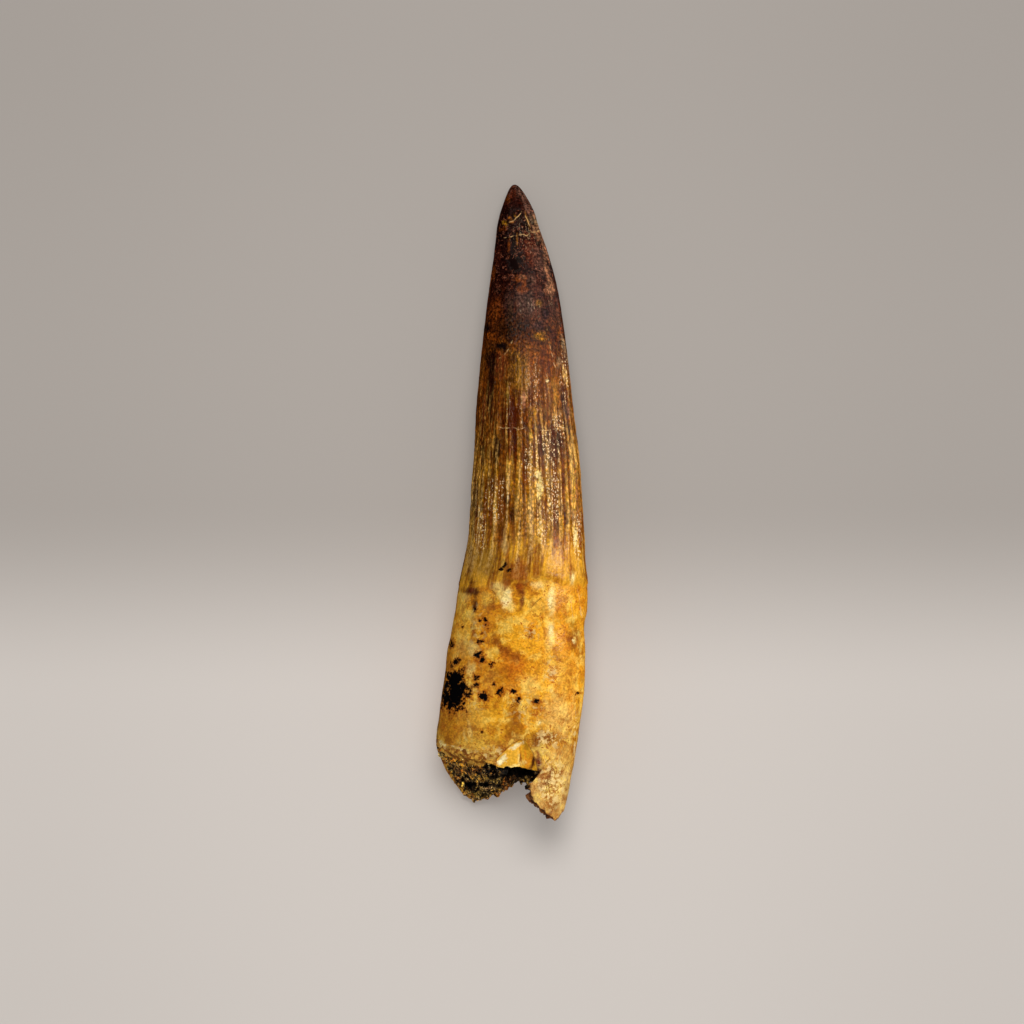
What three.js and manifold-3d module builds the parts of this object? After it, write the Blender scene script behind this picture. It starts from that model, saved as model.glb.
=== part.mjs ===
// A fossil spinosaur tooth lying on its side: a long fluted crown, worn smooth at the tip, on a root
// that has snapped off short. The root is hollow where the pulp was, and cemented sand closes all of
// that hollow but one pit beside a long splinter of root wall. It all holds together as one piece.
//
// Millimetres. +Y runs from the broken root to the tip, +X across the tooth's width, and +Z up from
// the surface that it lies on. The origin is the middle of the footprint, on that surface.
//
// A place on the tooth is given by two numbers: fromTip, the distance along the tooth from its tip,
// and turn, the angle round it in degrees. Turn 0 faces +X and turn 90 faces up.
import * as THREE from "three";
import { mergeVertices } from "three/addons/utils/BufferGeometryUtils.js";
import { ImprovedNoise } from "three/addons/math/ImprovedNoise.js";
import Module from "manifold-3d";

// ---- Driving dimensions ----

const TOOTH_LENGTH = 112; // from the tip to the end of the longest splinter
const CROWN_LENGTH = 70.8; // from the tip to the mean edge of the enamel
const ENAMEL_LIP = 0.25; // the enamel ends in a lip that stands this far proud of the root
const FLUTES = 32; // lengthwise ridges round the crown
const FLUTE_DEPTH = 0.3; // from crest to valley, where they are deepest
const CARINA_HEIGHT = 0.3; // the keel on each edge of the crown
const CARINA_TURNS = [24, 186]; // the front keel and the back one
const WALL_SHARE = 0.16; // root wall thickness, as a share of the root's radius
const PULP_END = 93; // from the tip to the closed end of the pulp hollow
const SEGMENTS = 4 * FLUTES; // a crest, a valley and two flanks to each flute
const TURNS = Array.from({ length: SEGMENTS }, (_, i) => (360 * i) / SEGMENTS);

// Half-sections along the tooth: distance from the tip, the left and right edges seen from above, the
// thickness from top to bottom, and the height of the underside. The underside dips a little below
// the surface in two places, and is cut flat there.
const OUTLINE = [
  { fromTip: 0, left: 0.6, right: 0.6, thick: 0, under: 2.0 },
  { fromTip: 0.7, left: -0.35, right: 1.5, thick: 1.7, under: 1.6 },
  { fromTip: 2.1, left: -1.0, right: 2.4, thick: 3.0, under: 1.4 },
  { fromTip: 4.9, left: -1.8, right: 3.85, thick: 4.9, under: 1.2 },
  { fromTip: 7.8, left: -2.45, right: 4.75, thick: 6.3, under: 1.05 },
  { fromTip: 12.0, left: -3.05, right: 6.2, thick: 8.0, under: 0.9 },
  { fromTip: 17.6, left: -3.8, right: 7.75, thick: 10.0, under: 0.7 },
  { fromTip: 24.7, left: -4.9, right: 9.05, thick: 12.1, under: 0.45 },
  { fromTip: 31.7, left: -5.75, right: 10.0, thick: 13.7, under: 0.22 },
  { fromTip: 40.2, left: -6.55, right: 10.95, thick: 15.2, under: -0.05 },
  { fromTip: 48.7, left: -6.9, right: 11.95, thick: 16.6, under: -0.2 },
  { fromTip: 57.1, left: -7.3, right: 12.55, thick: 17.8, under: -0.05 },
  { fromTip: 63.5, left: -7.6, right: 12.8, thick: 18.4, under: 0.15 },
  { fromTip: 66.5, left: -8.2, right: 12.8, thick: 18.7, under: 0.2 },
  { fromTip: 71.0, left: -9.25, right: 13.2, thick: 19.1, under: 0.2 },
  { fromTip: 75.5, left: -10.0, right: 13.15, thick: 19.4, under: 0.1 },
  { fromTip: 77.6, left: -10.5, right: 12.75, thick: 19.5, under: 0.0 },
  { fromTip: 81.8, left: -11.35, right: 12.95, thick: 19.6, under: -0.15 },
  { fromTip: 88.2, left: -12.15, right: 12.65, thick: 19.5, under: -0.28 },
  { fromTip: 92.4, left: -12.75, right: 12.2, thick: 19.2, under: -0.2 },
  { fromTip: 98.1, left: -13.4, right: 11.6, thick: 18.5, under: 0.05 },
  { fromTip: 103.7, left: -13.4, right: 10.75, thick: 17.6, under: 0.4 },
  { fromTip: 107.9, left: -12.6, right: 9.85, thick: 16.8, under: 0.9 },
  { fromTip: 112.0, left: -11.8, right: 8.7, thick: 16.0, under: 1.5 },
];

// The broken rim, once round: how far along each turn the root's wall reaches. The splinter is the
// long part on the +X side.
const RIM = [
  { turn: 0, fromTip: 109.9 },
  { turn: 12, fromTip: 111.2 },
  { turn: 24, fromTip: 112.0 }, // the splinter's point
  { turn: 36, fromTip: 111.5 },
  { turn: 46, fromTip: 110.7 },
  { turn: 57, fromTip: 109.7 },
  { turn: 66, fromTip: 109.0 },
  { turn: 73, fromTip: 108.0 },
  { turn: 79, fromTip: 104.2 },
  { turn: 86, fromTip: 103.1 },
  { turn: 95, fromTip: 102.7 },
  { turn: 106, fromTip: 102.0 },
  { turn: 120, fromTip: 101.1 },
  { turn: 134, fromTip: 100.4 },
  { turn: 164, fromTip: 99.5 },
  { turn: 178, fromTip: 98.9 },
  { turn: 190, fromTip: 100.0 },
  { turn: 203, fromTip: 102.2 },
  { turn: 215, fromTip: 104.6 },
  { turn: 226, fromTip: 106.9 },
  { turn: 236, fromTip: 108.5 },
  { turn: 248, fromTip: 108.7 }, // the lowest point of the broken face
  { turn: 260, fromTip: 108.0 },
  { turn: 270, fromTip: 106.9 },
  { turn: 279, fromTip: 106.2 },
  { turn: 288, fromTip: 105.4 },
  { turn: 300, fromTip: 104.6 },
  { turn: 315, fromTip: 104.8 },
  { turn: 330, fromTip: 106.4 },
  { turn: 345, fromTip: 108.4 },
];

// The notch beside the splinter, seen from above as x and fromTip. It runs from its inner corner along
// the splinter, which leans over it, and back along the top wall or, lower down, along the sand.
const NOTCH = {
  corner: [5.1, 103.9],
  alongSplinter: [[4.1, 104.8], [3.3, 106.0], [2.8, 106.9], [3.1, 108.1], [3.7, 109.2], [4.2, 112.5]],
  alongTopWall: [[-1.4, 112.5], [-1.0, 103.0], [0.6, 103.1], [2.3, 103.4], [3.9, 103.8]],
  alongSand: [[-4.4, 112.5], [-3.2, 108.2], [-1.4, 107.3], [0.2, 106.4], [1.2, 105.3], [2.8, 104.5]],
  bottomOfTopWall: 9,
};

// The middle of the root's section, which the wall and the sand are measured from.
const ROOT_AXIS = { x: -1.1, z: 9.4 };

// The cemented sand, as distances from the tip that its face reaches to.
const SAND = {
  middle: 105.9,
  belowTopRim: 0.8, // it stops this short of the rim at the top
  overBottomRim: 0.7, // and runs this far over the rim at the bottom
  inSplinter: 102.4, // it stops here inside the splinter,
  splinterTurns: [-38, 78], // which is between these turns
  block: { width: 30, height: 24 }, // what it is cut from, across the root
  crumb: 1.15, // the width of one of its faces
};

// The open pit that the sand doesn't fill, between the top wall and the splinter.
const PIT = { x: 2.4, z: 11.6, halfWidth: 5.2, halfHeight: 5.4, depth: 7 };

// Where the rings of faces lie.
const RING_STATIONS = [
  0.2, 0.7, 1.6, 3, 5, 7.8, 11.5, 16, 21, 26, 31, 36, 41, 46, 51, 56, 60.5, 64.5, 68,
  CROWN_LENGTH - 0.4,
  CROWN_LENGTH + 0.4,
  73.5, 77, 81, 85.5, 90,
];
const RIM_RINGS = 4; // rings between the last station and the broken rim

// ---- Small helpers ----

const rad = THREE.MathUtils.degToRad;
const smoothstep = THREE.MathUtils.smoothstep;
const perlin = new ImprovedNoise();

// A bump of height 1 at 0 that falls smoothly to nothing at the given width.
function bump(distance, width) {
  return 1 - smoothstep(Math.abs(distance), 0, width);
}

// The shortest way from one turn to another, in degrees.
function turnBetween(a, b) {
  return THREE.MathUtils.euclideanModulo(a - b + 180, 360) - 180;
}

// A smooth curve through rows of a table, read at one column.
function curveThrough(rows, at, columns) {
  const values = rows.flatMap((row) => columns.map((column) => row[column]));
  return new THREE.CubicInterpolant(rows.map(at), values, columns.length);
}

// The half-width grows as the square root of the distance near a round tip, so the outline is a
// smooth curve against that root.
const outlineCurve = curveThrough(OUTLINE, (row) => Math.sqrt(row.fromTip), [
  "left",
  "right",
  "thick",
  "under",
]);

const rimRows = [
  ...RIM.slice(-2).map((row) => ({ ...row, turn: row.turn - 360 })),
  ...RIM,
  ...RIM.slice(0, 2).map((row) => ({ ...row, turn: row.turn + 360 })),
];
const rimCurve = curveThrough(rimRows, (row) => row.turn, ["fromTip"]);

function rimFromTip(turn) {
  const [smooth] = rimCurve.evaluate(THREE.MathUtils.euclideanModulo(turn, 360));
  const angle = rad(turn);
  return smooth + 0.5 * perlin.noise(5 * Math.cos(angle), 5 * Math.sin(angle), 4);
}

// ---- Relief on the outside, in millimetres outwards ----

// The enamel ends lower on the left than on the right, and in shallow waves.
function enamelEdge(turn) {
  const wave = 0.7 * Math.sin(rad(3 * turn + 40)) + 0.35 * Math.sin(rad(7 * turn + 110));
  return CROWN_LENGTH - 0.9 * Math.cos(rad(turn)) + wave;
}

// Sharp crests over round valleys. They begin below the worn tip and stop short of the enamel's edge.
function flutes(turn, fromTip) {
  const wander = 2.2 * Math.sin(rad(3 * turn)) + 1.3 * Math.sin(rad(5 * turn + 0.9 * fromTip));
  const valley = Math.abs(Math.sin(rad((FLUTES / 2) * turn + wander)));
  const strength = 0.62 + 0.38 * Math.sin(rad(4 * turn + 2.1 * fromTip + 60));
  const alongCrown = smoothstep(fromTip, 14, 38) * (1 - smoothstep(fromTip, 60, CROWN_LENGTH - 2));
  return -FLUTE_DEPTH * strength * alongCrown * valley;
}

function carinae(turn, fromTip) {
  const alongCrown = smoothstep(fromTip, 1, 6) * (1 - smoothstep(fromTip, 62, CROWN_LENGTH));
  const keels = CARINA_TURNS.map((keel) => bump(turnBetween(turn, keel), 7));
  return CARINA_HEIGHT * alongCrown * Math.max(...keels);
}

// Low swellings and hollows left by growth and by burial, stronger on the root.
function lumps(turn, fromTip) {
  const x = 1.6 * Math.cos(rad(turn));
  const z = 1.6 * Math.sin(rad(turn));
  const onRoot = smoothstep(fromTip, CROWN_LENGTH - 6, CROWN_LENGTH + 8);
  const wide = perlin.noise(x, fromTip / 17, z);
  const narrow = perlin.noise(2.4 * x, fromTip / 7, 2.4 * z + 9);
  return (0.25 + 0.4 * onRoot) * wide + (0.06 + 0.16 * onRoot) * narrow;
}

// A flake has come off the top of the root at its broken rim.
function flakeScar(turn, fromTip) {
  return -0.6 * bump(turnBetween(turn, 78), 21) * smoothstep(fromTip, 97, 101.5);
}

// The enamel thickens to a lip, and then stops short.
function enamelLip(fromTip) {
  const rise = smoothstep(fromTip, CROWN_LENGTH - 9, CROWN_LENGTH - 0.5);
  const drop = smoothstep(fromTip, CROWN_LENGTH - 0.4, CROWN_LENGTH + 0.4);
  return ENAMEL_LIP * rise * (1 - drop);
}

function relief(turn, fromTip) {
  const ridges = flutes(turn, fromTip) + carinae(turn, fromTip) + enamelLip(fromTip);
  return ridges + flakeScar(turn, fromTip) + smoothstep(fromTip, 0.5, 9) * lumps(turn, fromTip);
}

// ---- The outside surface ----

// A section is a slightly squared ellipse, a little squarer on the root.
function outsidePoint(turn, fromTip) {
  const [left, right, thick, under] = outlineCurve.evaluate(Math.sqrt(fromTip));
  const squareness = 2 + 0.25 * smoothstep(fromTip, 30, 90);
  const power = 2 / squareness;
  const across = Math.cos(rad(turn));
  const upward = Math.sin(rad(turn));
  const halfWidth = (right - left) / 2;
  const halfThick = thick / 2;
  const point = new THREE.Vector3(
    (left + right) / 2 + halfWidth * Math.sign(across) * Math.abs(across) ** power,
    -fromTip,
    under + halfThick + halfThick * Math.sign(upward) * Math.abs(upward) ** power,
  );
  const outward = new THREE.Vector3(across * halfThick, 0, upward * halfWidth).normalize();
  return point.addScaledVector(outward, relief(turn, fromTip));
}

// The two rings beside the enamel's edge follow its waves, and so do those near it, less and less.
function followEnamel(turn, station) {
  return station + (enamelEdge(turn) - CROWN_LENGTH) * bump(station - CROWN_LENGTH, 9);
}

function stationRing(station) {
  return TURNS.map((turn) => outsidePoint(turn, station).setY(-followEnamel(turn, station)));
}

// Rings that start on the last whole section and end on the broken rim, which is ragged.
function rimRing(share) {
  const whole = RING_STATIONS.at(-1);
  const reach = (turn) => THREE.MathUtils.lerp(whole, rimFromTip(turn), share);
  return TURNS.map((turn) => outsidePoint(turn, reach(turn)));
}

// A closed surface through rings of points, from one end point to the other.
function skinThrough(first, rings, last) {
  const points = [first, ...rings.flat(), last];
  const corner = (ring, i) => 1 + ring * SEGMENTS + (i % SEGMENTS);
  const faces = [];
  for (let i = 0; i < SEGMENTS; i++) {
    faces.push(0, corner(0, i + 1), corner(0, i));
    for (let ring = 0; ring + 1 < rings.length; ring++) {
      const [a, b] = [corner(ring, i), corner(ring, i + 1)];
      const [c, d] = [corner(ring + 1, i), corner(ring + 1, i + 1)];
      faces.push(a, b, c, b, d, c);
    }
    const end = rings.length - 1;
    faces.push(points.length - 1, corner(end, i), corner(end, i + 1));
  }
  const geometry = new THREE.BufferGeometry().setFromPoints(points);
  geometry.setIndex(faces);
  return geometry;
}

function towardsAxis(point, share, fromTip) {
  const x = THREE.MathUtils.lerp(ROOT_AXIS.x, point.x, share);
  const z = THREE.MathUtils.lerp(ROOT_AXIS.z, point.z, share);
  return new THREE.Vector3(x, -fromTip, z);
}

function onAxis(fromTip) {
  return new THREE.Vector3(ROOT_AXIS.x, -fromTip, ROOT_AXIS.z);
}

// The tooth without its sand: down the outside to the rim, over the broken edge of the wall, and back
// up the inside of the pulp hollow.
function emptyTooth() {
  const rings = RING_STATIONS.map(stationRing);
  for (let i = 1; i <= RIM_RINGS; i++) rings.push(rimRing(i / RIM_RINGS));
  const rim = rings.at(-1);
  const inside = 1 - WALL_SHARE;
  rings.push(rim.map((point) => towardsAxis(point, inside, -point.y - 0.3)));
  rings.push(rim.map((point) => towardsAxis(point, inside - 0.04, PULP_END + 5)));
  rings.push(rim.map((point) => towardsAxis(point, 0.6, PULP_END)));
  return skinThrough(outsidePoint(0, 0), rings, onAxis(PULP_END));
}

// ---- The cemented sand ----

function sandAtWall(turn) {
  const [from, to] = SAND.splinterTurns;
  const signed = turnBetween(turn, 0);
  const inSplinter = smoothstep(signed, from, from + 15) * (1 - smoothstep(signed, to - 12, to));
  const low = smoothstep(-Math.sin(rad(turn)), 0, 0.5);
  const level = rimFromTip(turn) + THREE.MathUtils.lerp(-SAND.belowTopRim, SAND.overBottomRim, low);
  return THREE.MathUtils.lerp(level, SAND.inSplinter, inSplinter);
}

// Crumbs of two sizes, with the open pit behind the top wall.
function sandFromTip(x, z) {
  const [left, right, thick] = outlineCurve.evaluate(Math.sqrt(RING_STATIONS.at(-1)));
  const across = (2 * (x - ROOT_AXIS.x)) / (right - left);
  const upward = (2 * (z - ROOT_AXIS.z)) / thick;
  const turn = THREE.MathUtils.radToDeg(Math.atan2(upward, across));
  const share = Math.min(1.1 * Math.hypot(across, upward), 1);
  const face = THREE.MathUtils.lerp(SAND.middle, sandAtWall(turn), share ** 1.3);
  const crumbs = 1.1 * perlin.noise(x / 2.7, z / 2.7, 3) + 0.8 * perlin.noise(x / 1.3, z / 1.3, 8);
  const fromPit = Math.hypot((x - PIT.x) / PIT.halfWidth, (z - PIT.z) / PIT.halfHeight);
  return face + crumbs - PIT.depth * (1 - smoothstep(fromPit, 0.35, 1.1));
}

// A block across the root whose outer side is the crumbled face of the sand.
function sandBlock() {
  const { width, height } = SAND.block;
  const [columns, rows] = [width, height].map((side) => Math.round(side / SAND.crumb));
  const block = new THREE.BoxGeometry(width, 1, height, columns, 1, rows);
  block.translate(ROOT_AXIS.x, 0, ROOT_AXIS.z);
  const place = block.getAttribute("position");
  for (let i = 0; i < place.count; i++) {
    const onFace = place.getY(i) < 0;
    place.setY(i, onFace ? -sandFromTip(place.getX(i), place.getZ(i)) : 2 - PULP_END);
  }
  return block;
}

// Almost everything inside the root's outside, so that the sand is bonded into the wall all round.
function insideTheRoot() {
  const stations = [PULP_END - 1, 98, 103, 108, TOOTH_LENGTH + 2];
  const rings = stations.map((fromTip) =>
    TURNS.map((turn) => towardsAxis(outsidePoint(turn, fromTip), 0.98, fromTip)),
  );
  return skinThrough(onAxis(stations.at(0)), rings, onAxis(stations.at(-1)));
}

// One part of the notch: everything between the splinter and a second edge, from a height upwards.
function notchAbove(height, secondEdge) {
  const seenFromAbove = [NOTCH.corner, ...NOTCH.alongSplinter, ...secondEdge];
  const shape = new THREE.Shape(seenFromAbove.map(([x, fromTip]) => new THREE.Vector2(x, -fromTip)));
  const prism = new THREE.ExtrudeGeometry(shape, { depth: 30 - height, bevelEnabled: false });
  return prism.translate(0, 0, height);
}

// ---- Booleans ----

const wasm = await Module();
wasm.setup();

function toSolid(geometry) {
  const bare = geometry.clone();
  bare.deleteAttribute("normal");
  bare.deleteAttribute("uv");
  const merged = mergeVertices(bare, 1e-4);
  return new wasm.Manifold(
    new wasm.Mesh({
      numProp: 3,
      vertProperties: merged.attributes.position.array,
      triVerts: new Uint32Array(merged.index.array),
    }),
  );
}

function toGeometry(solid) {
  const { vertProperties, triVerts } = solid.getMesh();
  const geometry = new THREE.BufferGeometry();
  geometry.setAttribute("position", new THREE.BufferAttribute(vertProperties, 3));
  geometry.setIndex(new THREE.BufferAttribute(triVerts, 1));
  geometry.computeVertexNormals();
  return geometry;
}

// Everything below the surface that the tooth lies on, which leaves a flat spot under the root and
// one under the crown.
function belowTheSurface() {
  const depth = 10;
  const slab = new THREE.BoxGeometry(4 * TOOTH_LENGTH, 4 * TOOTH_LENGTH, depth);
  return slab.translate(0, 0, -depth / 2);
}

function toothGeometry() {
  const sand = toSolid(sandBlock()).intersect(toSolid(insideTheRoot()));
  const cuts = [
    notchAbove(NOTCH.bottomOfTopWall, NOTCH.alongTopWall),
    notchAbove(-5, NOTCH.alongSand),
    belowTheSurface(),
  ];
  const whole = toSolid(emptyTooth()).add(sand);
  const geometry = toGeometry(cuts.map(toSolid).reduce((solid, cut) => solid.subtract(cut), whole));
  geometry.computeBoundingBox();
  const middle = geometry.boundingBox.getCenter(new THREE.Vector3());
  return geometry.translate(-middle.x, -middle.y, 0);
}

// ---- The part ----

const fossil = new THREE.MeshStandardMaterial({ color: "#a8763a", roughness: 0.45, metalness: 0 });
const tooth = new THREE.Mesh(toothGeometry(), fossil);
tooth.name = "tooth";

const part = new THREE.Group();
part.add(tooth);
export default part;
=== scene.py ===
# %% [markdown]
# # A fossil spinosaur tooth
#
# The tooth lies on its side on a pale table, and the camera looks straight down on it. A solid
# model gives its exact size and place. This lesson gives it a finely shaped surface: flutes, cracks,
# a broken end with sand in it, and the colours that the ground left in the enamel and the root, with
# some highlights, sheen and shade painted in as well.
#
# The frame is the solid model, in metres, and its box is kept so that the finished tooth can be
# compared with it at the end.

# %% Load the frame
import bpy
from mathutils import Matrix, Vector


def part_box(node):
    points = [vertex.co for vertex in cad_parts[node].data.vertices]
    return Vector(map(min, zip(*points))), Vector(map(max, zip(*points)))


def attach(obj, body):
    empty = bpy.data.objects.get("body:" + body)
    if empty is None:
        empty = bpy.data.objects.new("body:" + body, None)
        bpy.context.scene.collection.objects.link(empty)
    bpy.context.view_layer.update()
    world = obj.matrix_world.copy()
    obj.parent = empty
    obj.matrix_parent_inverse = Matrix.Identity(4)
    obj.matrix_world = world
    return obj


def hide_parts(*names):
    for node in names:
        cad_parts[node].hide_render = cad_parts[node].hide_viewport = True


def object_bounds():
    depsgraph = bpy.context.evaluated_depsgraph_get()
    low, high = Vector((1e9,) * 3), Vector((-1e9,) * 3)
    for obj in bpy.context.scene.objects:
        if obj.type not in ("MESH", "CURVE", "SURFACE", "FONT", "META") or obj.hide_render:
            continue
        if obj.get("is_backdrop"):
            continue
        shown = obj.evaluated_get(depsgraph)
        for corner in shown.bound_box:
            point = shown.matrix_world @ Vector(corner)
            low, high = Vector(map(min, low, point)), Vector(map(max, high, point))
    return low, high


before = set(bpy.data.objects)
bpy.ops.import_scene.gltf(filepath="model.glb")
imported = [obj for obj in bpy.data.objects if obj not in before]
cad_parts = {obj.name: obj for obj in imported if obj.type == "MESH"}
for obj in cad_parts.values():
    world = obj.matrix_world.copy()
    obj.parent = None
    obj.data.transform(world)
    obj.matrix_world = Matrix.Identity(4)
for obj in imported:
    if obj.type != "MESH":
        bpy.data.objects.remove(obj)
cad_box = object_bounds()
print("the solid tooth is", [round(1000 * side, 2) for side in cad_box[1] - cad_box[0]], "mm")

# %% [markdown]
# ## Tools
#
# bmesh shapes meshes, numpy works on many points at once, and mathutils has smooth noise. All the
# tooth's own sizes are in millimetres, and only finished meshes are scaled down to metres.

# %% Import the tools
import math
import random

import bmesh
import bpy
import numpy as np
from mathutils import Matrix, Vector, noise

MM = 0.001
NOT_ZERO = 1e-9

# %% [markdown]
# ## The camera
#
# A small thing is best photographed from far away with a long lens, because its outline then has
# almost no perspective. The lens is worked out from the width that the picture takes in at the
# height of the tooth's edges, so that the scale there is exact.

# %% Make the camera
PICTURE_WIDTH = 180.6 * MM
CAMERA_ABOVE = 1500 * MM
EDGE_HEIGHT = 8 * MM
SENSOR_WIDTH = 36
PICTURE_MIDDLE = Vector((0.0, -1.85 * MM, 0.0))

camera_data = bpy.data.cameras.new("camera above")
camera_data.sensor_width = SENSOR_WIDTH
camera_data.lens = SENSOR_WIDTH * CAMERA_ABOVE / PICTURE_WIDTH
camera = bpy.data.objects.new("camera above", camera_data)
camera.location = PICTURE_MIDDLE + Vector((0, 0, CAMERA_ABOVE + EDGE_HEIGHT))
bpy.context.collection.objects.link(camera)
bpy.context.scene.camera = camera
bpy.context.scene.view_settings.view_transform = "Standard"
print("lens", round(camera_data.lens), "mm")

# %% [markdown]
# ## The light
#
# Fossils are lit from one side so that their relief shows. A softbox to the right, a little towards
# the tip, draws a bright line down the rounded side, and an edge lamp low on the right lights the
# flank below that line. A wide panel overhead, a weak one on the left and a lamp at the broken end keep
# the rest from going black. The last two lamps are for the paper under the tooth, so that it can be
# lit evenly. Each lamp is a rectangle that faces the tooth, and its place is given as a direction and a
# distance.

# %% Hang the lamps
AIR_COLOUR = (1.0, 0.985, 0.97, 1)
AIR_STRENGTH = 0.28


def hang_lamp(name, towards, distance, size, watts, colour, in_reflections=False):
    lamp_data = bpy.data.lights.new(name, "AREA")
    lamp_data.shape = "RECTANGLE"
    lamp_data.size = size[0]
    lamp_data.size_y = size[1]
    lamp_data.energy = watts
    lamp_data.color = colour
    lamp = bpy.data.objects.new(name, lamp_data)
    direction = Vector(towards).normalized()
    lamp.location = direction * distance
    lamp.rotation_euler = direction.to_track_quat("Z", "Y").to_euler()
    lamp.visible_glossy = in_reflections
    bpy.context.collection.objects.link(lamp)
    return lamp


key = hang_lamp("key softbox", (0.92, 0.28, 0.62), 0.75, (0.16, 0.34), 4.15, (1.0, 0.95, 0.84), True)
edge_lamp = hang_lamp("edge lamp", (1.0, 0.05, 0.10), 0.75, (0.2, 0.3), 1.3, (1.0, 0.93, 0.80))
hang_lamp("overhead panel", (0.05, 0.40, 1.0), 0.9, (0.6, 0.4), 2.95, (1.0, 0.98, 0.95))
end_lamp = hang_lamp("end lamp", (-0.1, -0.8, 0.55), 0.75, (0.3, 0.3), 0.6, (1.0, 0.95, 0.85))
left_panel = hang_lamp("left panel", (-0.8, -0.1, 0.7), 0.9, (0.5, 0.5), 0.9, (1.0, 0.99, 0.97))
paper_lamp = hang_lamp("paper lamp", (0.0, 0.45, 1.0), 1.2, (0.45, 0.45), 3.2, (1.0, 1.0, 1.0))
paper_fill = hang_lamp("paper fill", (0.0, 0.0, 1.0), 1.2, (0.6, 0.6), 4.4, (1.0, 1.0, 1.0))
paper_fill.data.use_shadow = False

# The light of these three stops at the tooth. It would tint the paper yellow if it went on.
for lamp in (key, edge_lamp, end_lamp):
    lamp.data.cycles.max_bounces = 0

world = bpy.data.worlds.new("studio air")
world.use_nodes = True
background = world.node_tree.nodes["Background"]
background.inputs["Color"].default_value = AIR_COLOUR
background.inputs["Strength"].default_value = AIR_STRENGTH
world.cycles_visibility.glossy = False
bpy.context.scene.world = world

# %% [markdown]
# ## Small helpers for numbers
#
# Relief and paint are both made of soft steps and soft bumps. A smooth curve through a short table
# gives the tooth's outline: between two rows it is a cubic whose slope at each row is the mean of the
# slopes on both sides.

# %% Soft steps, bumps and curves
def smoothstep(value, low, high):
    share = np.clip((value - low) / (high - low), 0, 1)
    return share * share * (3 - 2 * share)


def bump(distance, width):
    return 1 - smoothstep(np.abs(distance), 0, width)


def mix(first, second, share):
    return first + (second - first) * share


def smooth_curve(places, values, at):
    places = np.asarray(places, float)
    values = np.asarray(values, float)
    slopes = np.diff(values) / np.diff(places)
    tangents = np.concatenate([slopes[:1], (slopes[:-1] + slopes[1:]) / 2, slopes[-1:]])
    at = np.clip(at, places[0], places[-1])
    row = np.clip(np.searchsorted(places, at, side="right") - 1, 0, len(places) - 2)
    step = places[row + 1] - places[row]
    share = (at - places[row]) / step
    start = values[row] * (1 + 2 * share) * (1 - share) ** 2
    end = values[row + 1] * share**2 * (3 - 2 * share)
    leaving = tangents[row] * step * share * (1 - share) ** 2
    arriving = tangents[row + 1] * step * share**2 * (share - 1)
    return start + end + leaving + arriving


# Smooth noise from -1 to 1, with swellings about one size across. Each seed gives other noise.
def soft_noise(points, size, seed=0):
    shifted = np.asarray(points, float) / size + 31.7 * seed
    return np.array([noise.noise(place) for place in shifted.tolist()])


print("halfway up a soft step:", smoothstep(0.5, 0, 1))

# %% [markdown]
# ## The tooth's measures
#
# A place on the tooth is given by two numbers: `from_tip`, the distance along it in millimetres, and
# `turn`, the angle round it in degrees, where 0 faces +X and 90 faces up. These are the same measures
# that the solid model is built from. Each row holds the distance from the tip, the left and right
# edges seen from above, the thickness, and the height of the underside.

# %% Outline and broken rim
CROWN_LENGTH = 70.8
FLUTES = 32
FLUTE_DEPTH = 0.3
CARINA_HEIGHT = 0.3
CARINA_TURNS = (24, 186)
ENAMEL_LIP = 0.14

OUTLINE = [
    (0, 0.6, 0.6, 0, 2.0),
    (0.7, -0.3, 1.65, 1.7, 1.6),
    (2.1, -0.9, 2.6, 3.0, 1.4),
    (4.9, -1.65, 4.05, 4.9, 1.2),
    (7.8, -2.25, 4.95, 6.3, 1.05),
    (12.0, -2.7, 6.45, 8.0, 0.9),
    (17.6, -3.5, 7.95, 10.0, 0.7),
    (24.7, -4.4, 9.15, 12.1, 0.45),
    (31.7, -5.15, 10.1, 13.7, 0.22),
    (40.2, -6.05, 11.15, 15.2, 0.05),
    (48.7, -6.6, 12.15, 16.6, 0.0),
    (57.1, -7.15, 12.7, 17.8, 0.05),
    (63.5, -7.6, 12.95, 18.4, 0.15),
    (66.5, -8.2, 12.95, 18.7, 0.2),
    (71.0, -9.25, 13.25, 18.8, 0.2),
    (75.5, -10.0, 13.15, 18.9, 0.15),
    (77.6, -10.5, 12.75, 18.9, 0.1),
    (81.8, -11.35, 12.95, 18.9, 0.05),
    (88.2, -12.15, 12.65, 18.7, 0.0),
    (92.4, -12.75, 12.2, 18.5, 0.0),
    (98.1, -13.4, 11.6, 18.4, 0.1),
    (103.7, -13.4, 10.75, 17.6, 0.4),
    (107.9, -12.6, 9.85, 16.8, 0.9),
    (112.0, -11.8, 8.7, 16.0, 1.5),
]

# How far from the tip the root's wall reaches, turn by turn.
RIM = [
    (0, 109.9), (12, 111.2), (24, 112.0), (36, 111.5), (46, 110.7), (57, 109.7), (66, 109.0),
    (73, 108.0), (79, 103.6), (86, 102.7), (95, 102.3), (106, 101.7), (120, 101.0), (134, 100.4),
    (164, 99.3), (178, 98.4), (190, 99.0), (203, 100.9), (215, 103.4), (226, 106.2), (236, 108.2),
    (248, 109.0), (260, 108.2), (270, 107.2), (279, 105.6), (288, 104.4), (300, 103.9),
    (315, 104.1), (330, 106.2), (345, 108.4),
]
print(len(OUTLINE), "sections,", len(RIM), "points on the rim")


# %% [markdown]
# ## One section of the tooth
#
# A section is a slightly squared ellipse. Near a round tip the half-width grows as the square root of
# the distance, so the outline is a smooth curve against that root.

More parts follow.
